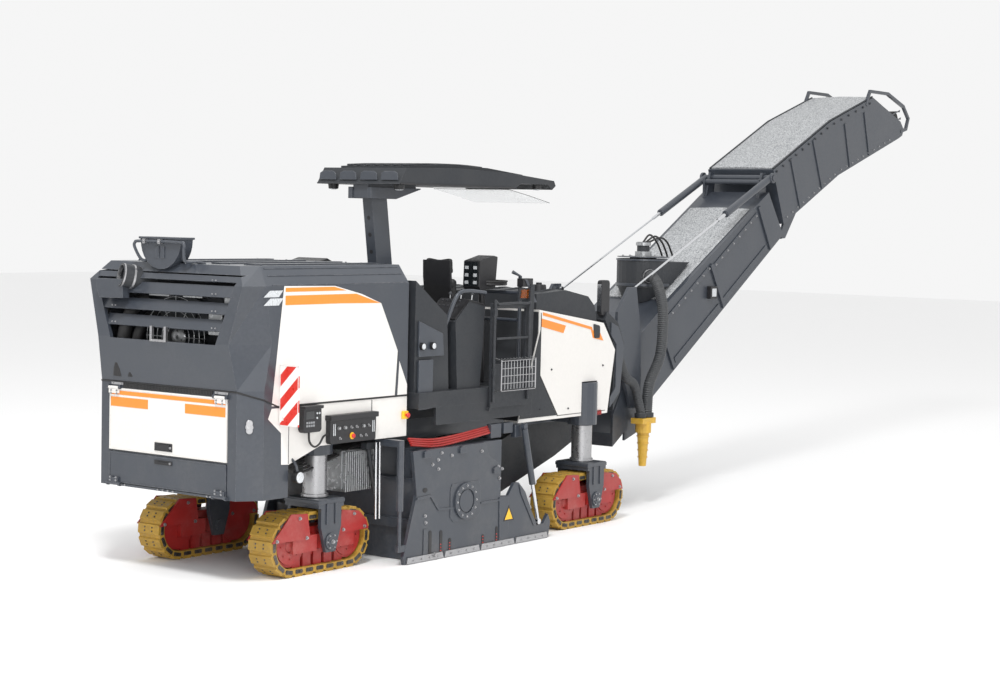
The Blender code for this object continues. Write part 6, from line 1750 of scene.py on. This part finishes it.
front_stripes = Work()
hood_patch(front_stripes, [(1.434, 2.165), (2.290, 1.995), (2.300, 1.965), (1.434, 2.135)])
hood_patch(front_stripes, [(1.419, 2.105), (1.83, 2.023), (1.79, 1.950), (1.419, 2.025)])
hood_patch(front_stripes, [(2.270, 1.972), (2.44, 1.930), (2.50, 1.850), (2.31, 1.885)])
front_stripes.done("front_stripes", ORANGE, "machine")
seam_front = Work()
hood_patch(seam_front, [(1.405, 1.545), (1.413, 1.551), (1.722, 1.143), (1.712, 1.137)], 0.0045)
hood_patch(seam_front, [(1.405, 1.545), (1.411, 1.545), (1.411, 2.16), (1.405, 2.16)], 0.0045)
hood_patch(seam_front, [(1.722, 1.137), (2.56, 1.137), (2.56, 1.143), (1.722, 1.143)], 0.0015)
seam_front.done("front_seams", PLASTIC, "machine")
print("front stripes and seams")

# %% Latch, lid ribs and filler cap
latch = Work()
hood_patch(latch, rounded([(2.311, 2.027), (2.424, 2.005), (2.424, 1.881), (2.330, 1.881)], 0.02), 0.010)
for x, z in ((1.42, 1.22), (1.90, 1.20), (2.40, 1.20), (1.60, 1.60), (2.50, 1.60)):
    for side in (-1, 1):
        latch.bolt((x, side * HOOD_FACE, z), (0, side, 0), 0.011)
latch.done("front_latch", DARK, "machine", 0.003)
lid_ribs = Work()
for i in range(8):
    y = -0.70 + 0.20 * i
    lid_ribs.tube(smooth([(1.43, y, 2.3415), (1.65, y, 2.355), (1.90, y, 2.370), (2.28, y, 2.304)], 3),
                  0.010, 6)
lid_ribs.done("lid_ribs", DARK, "machine")
filler = Work()
filler.bar((1.75, -0.62, 2.355), (1.75, -0.62, 2.42), 0.080, 24, 0.070)
filler.bar((1.75, -0.62, 2.415), (1.75, -0.62, 2.44), 0.030, 12)
filler.done("filler_cap", PLASTIC, "machine", 0.006)
print("latch and lid")

# %% Mirrors, lamp consoles and markers
mirrors, mirror_glass = Work(), Work()
for side in (-1, 1):
    mirrors.prism(rounded([(2.515, 2.10), (2.66, 2.10), (2.66, 2.46), (2.515, 2.46)], 0.04), "y", side * 0.80,
                  side * 0.86)
    mirrors.tube(smooth([(2.60, side * 0.72, 2.00), (2.61, side * 0.78, 2.06), (2.60, side * 0.81, 2.14)],
                        4), 0.012, 8)
    mirror_glass.box((2.5115, 2.5145), (side * 0.83 - 0.024, side * 0.83 + 0.024), (2.14, 2.42))
    mirrors.box((2.58, 2.72), (side * 0.73 - 0.05, side * 0.73 + 0.05), (1.96, 2.02))
mirrors.done("mirror_shells", PLASTIC, "machine", 0.008)
mirror_glass.done("mirror_glass", CHROME, "machine")
consoles, lens = Work(), Work()
for side in (-1, 1):
    face_y = side * 0.8805
    consoles.prism([(2.66, 1.16), (2.84, 1.31), (2.90, 1.79), (2.79, 1.98), (2.66, 2.03), (2.66, 1.90),
                    (2.76, 1.80),
                    (2.76, 1.36), (2.66, 1.26)], "y", face_y, face_y + side * 0.012)
    for z in (1.42, 1.58):
        consoles.bar((2.878, side * 0.78, z), (2.925, side * 0.78, z), 0.050, 20)
        lens.dome((2.924, side * 0.78, z), (1, 0, 0), 0.042, 0.012)
    for i in range(6):
        consoles.bolt((2.70 + 0.022 * i, face_y, 1.24 + 0.02 * i), (0, side, 0), 0.008)
consoles.done("lamp_consoles", ANTHRACITE, "machine", 0.003)
lens.done("front_lamp_glass", SILVER, "machine")
tail_red = Work()
for side in (-1, 1):
    tail_red.prism([(2.38, 1.10), (2.48, 1.10), (2.48, 1.15), (2.38, 1.15)], "y", side * 0.9005, side * 0.915)
tail_red.done("side_marker", RED_LENS, "machine", 0.003)
rear_field = Work()
for side in (-1, 1):
    rear_field.prism([(1.080, 1.145), (1.700, 1.145), (1.405, 1.545), (1.405, 2.00), (1.392, 1.96)], "y",
                     side * 0.9003, side * 0.9033)
rear_field.prism([(1.0670, 1.130), (1.3797, 1.960), (1.3797, 2.170), (1.3737, 2.170), (1.3737, 1.962),
                  (1.0607, 1.130)],
                 "y", -0.89, 0.89)
rear_field.done("tank_rear_field", DARK, "machine")
print("front hood fittings")
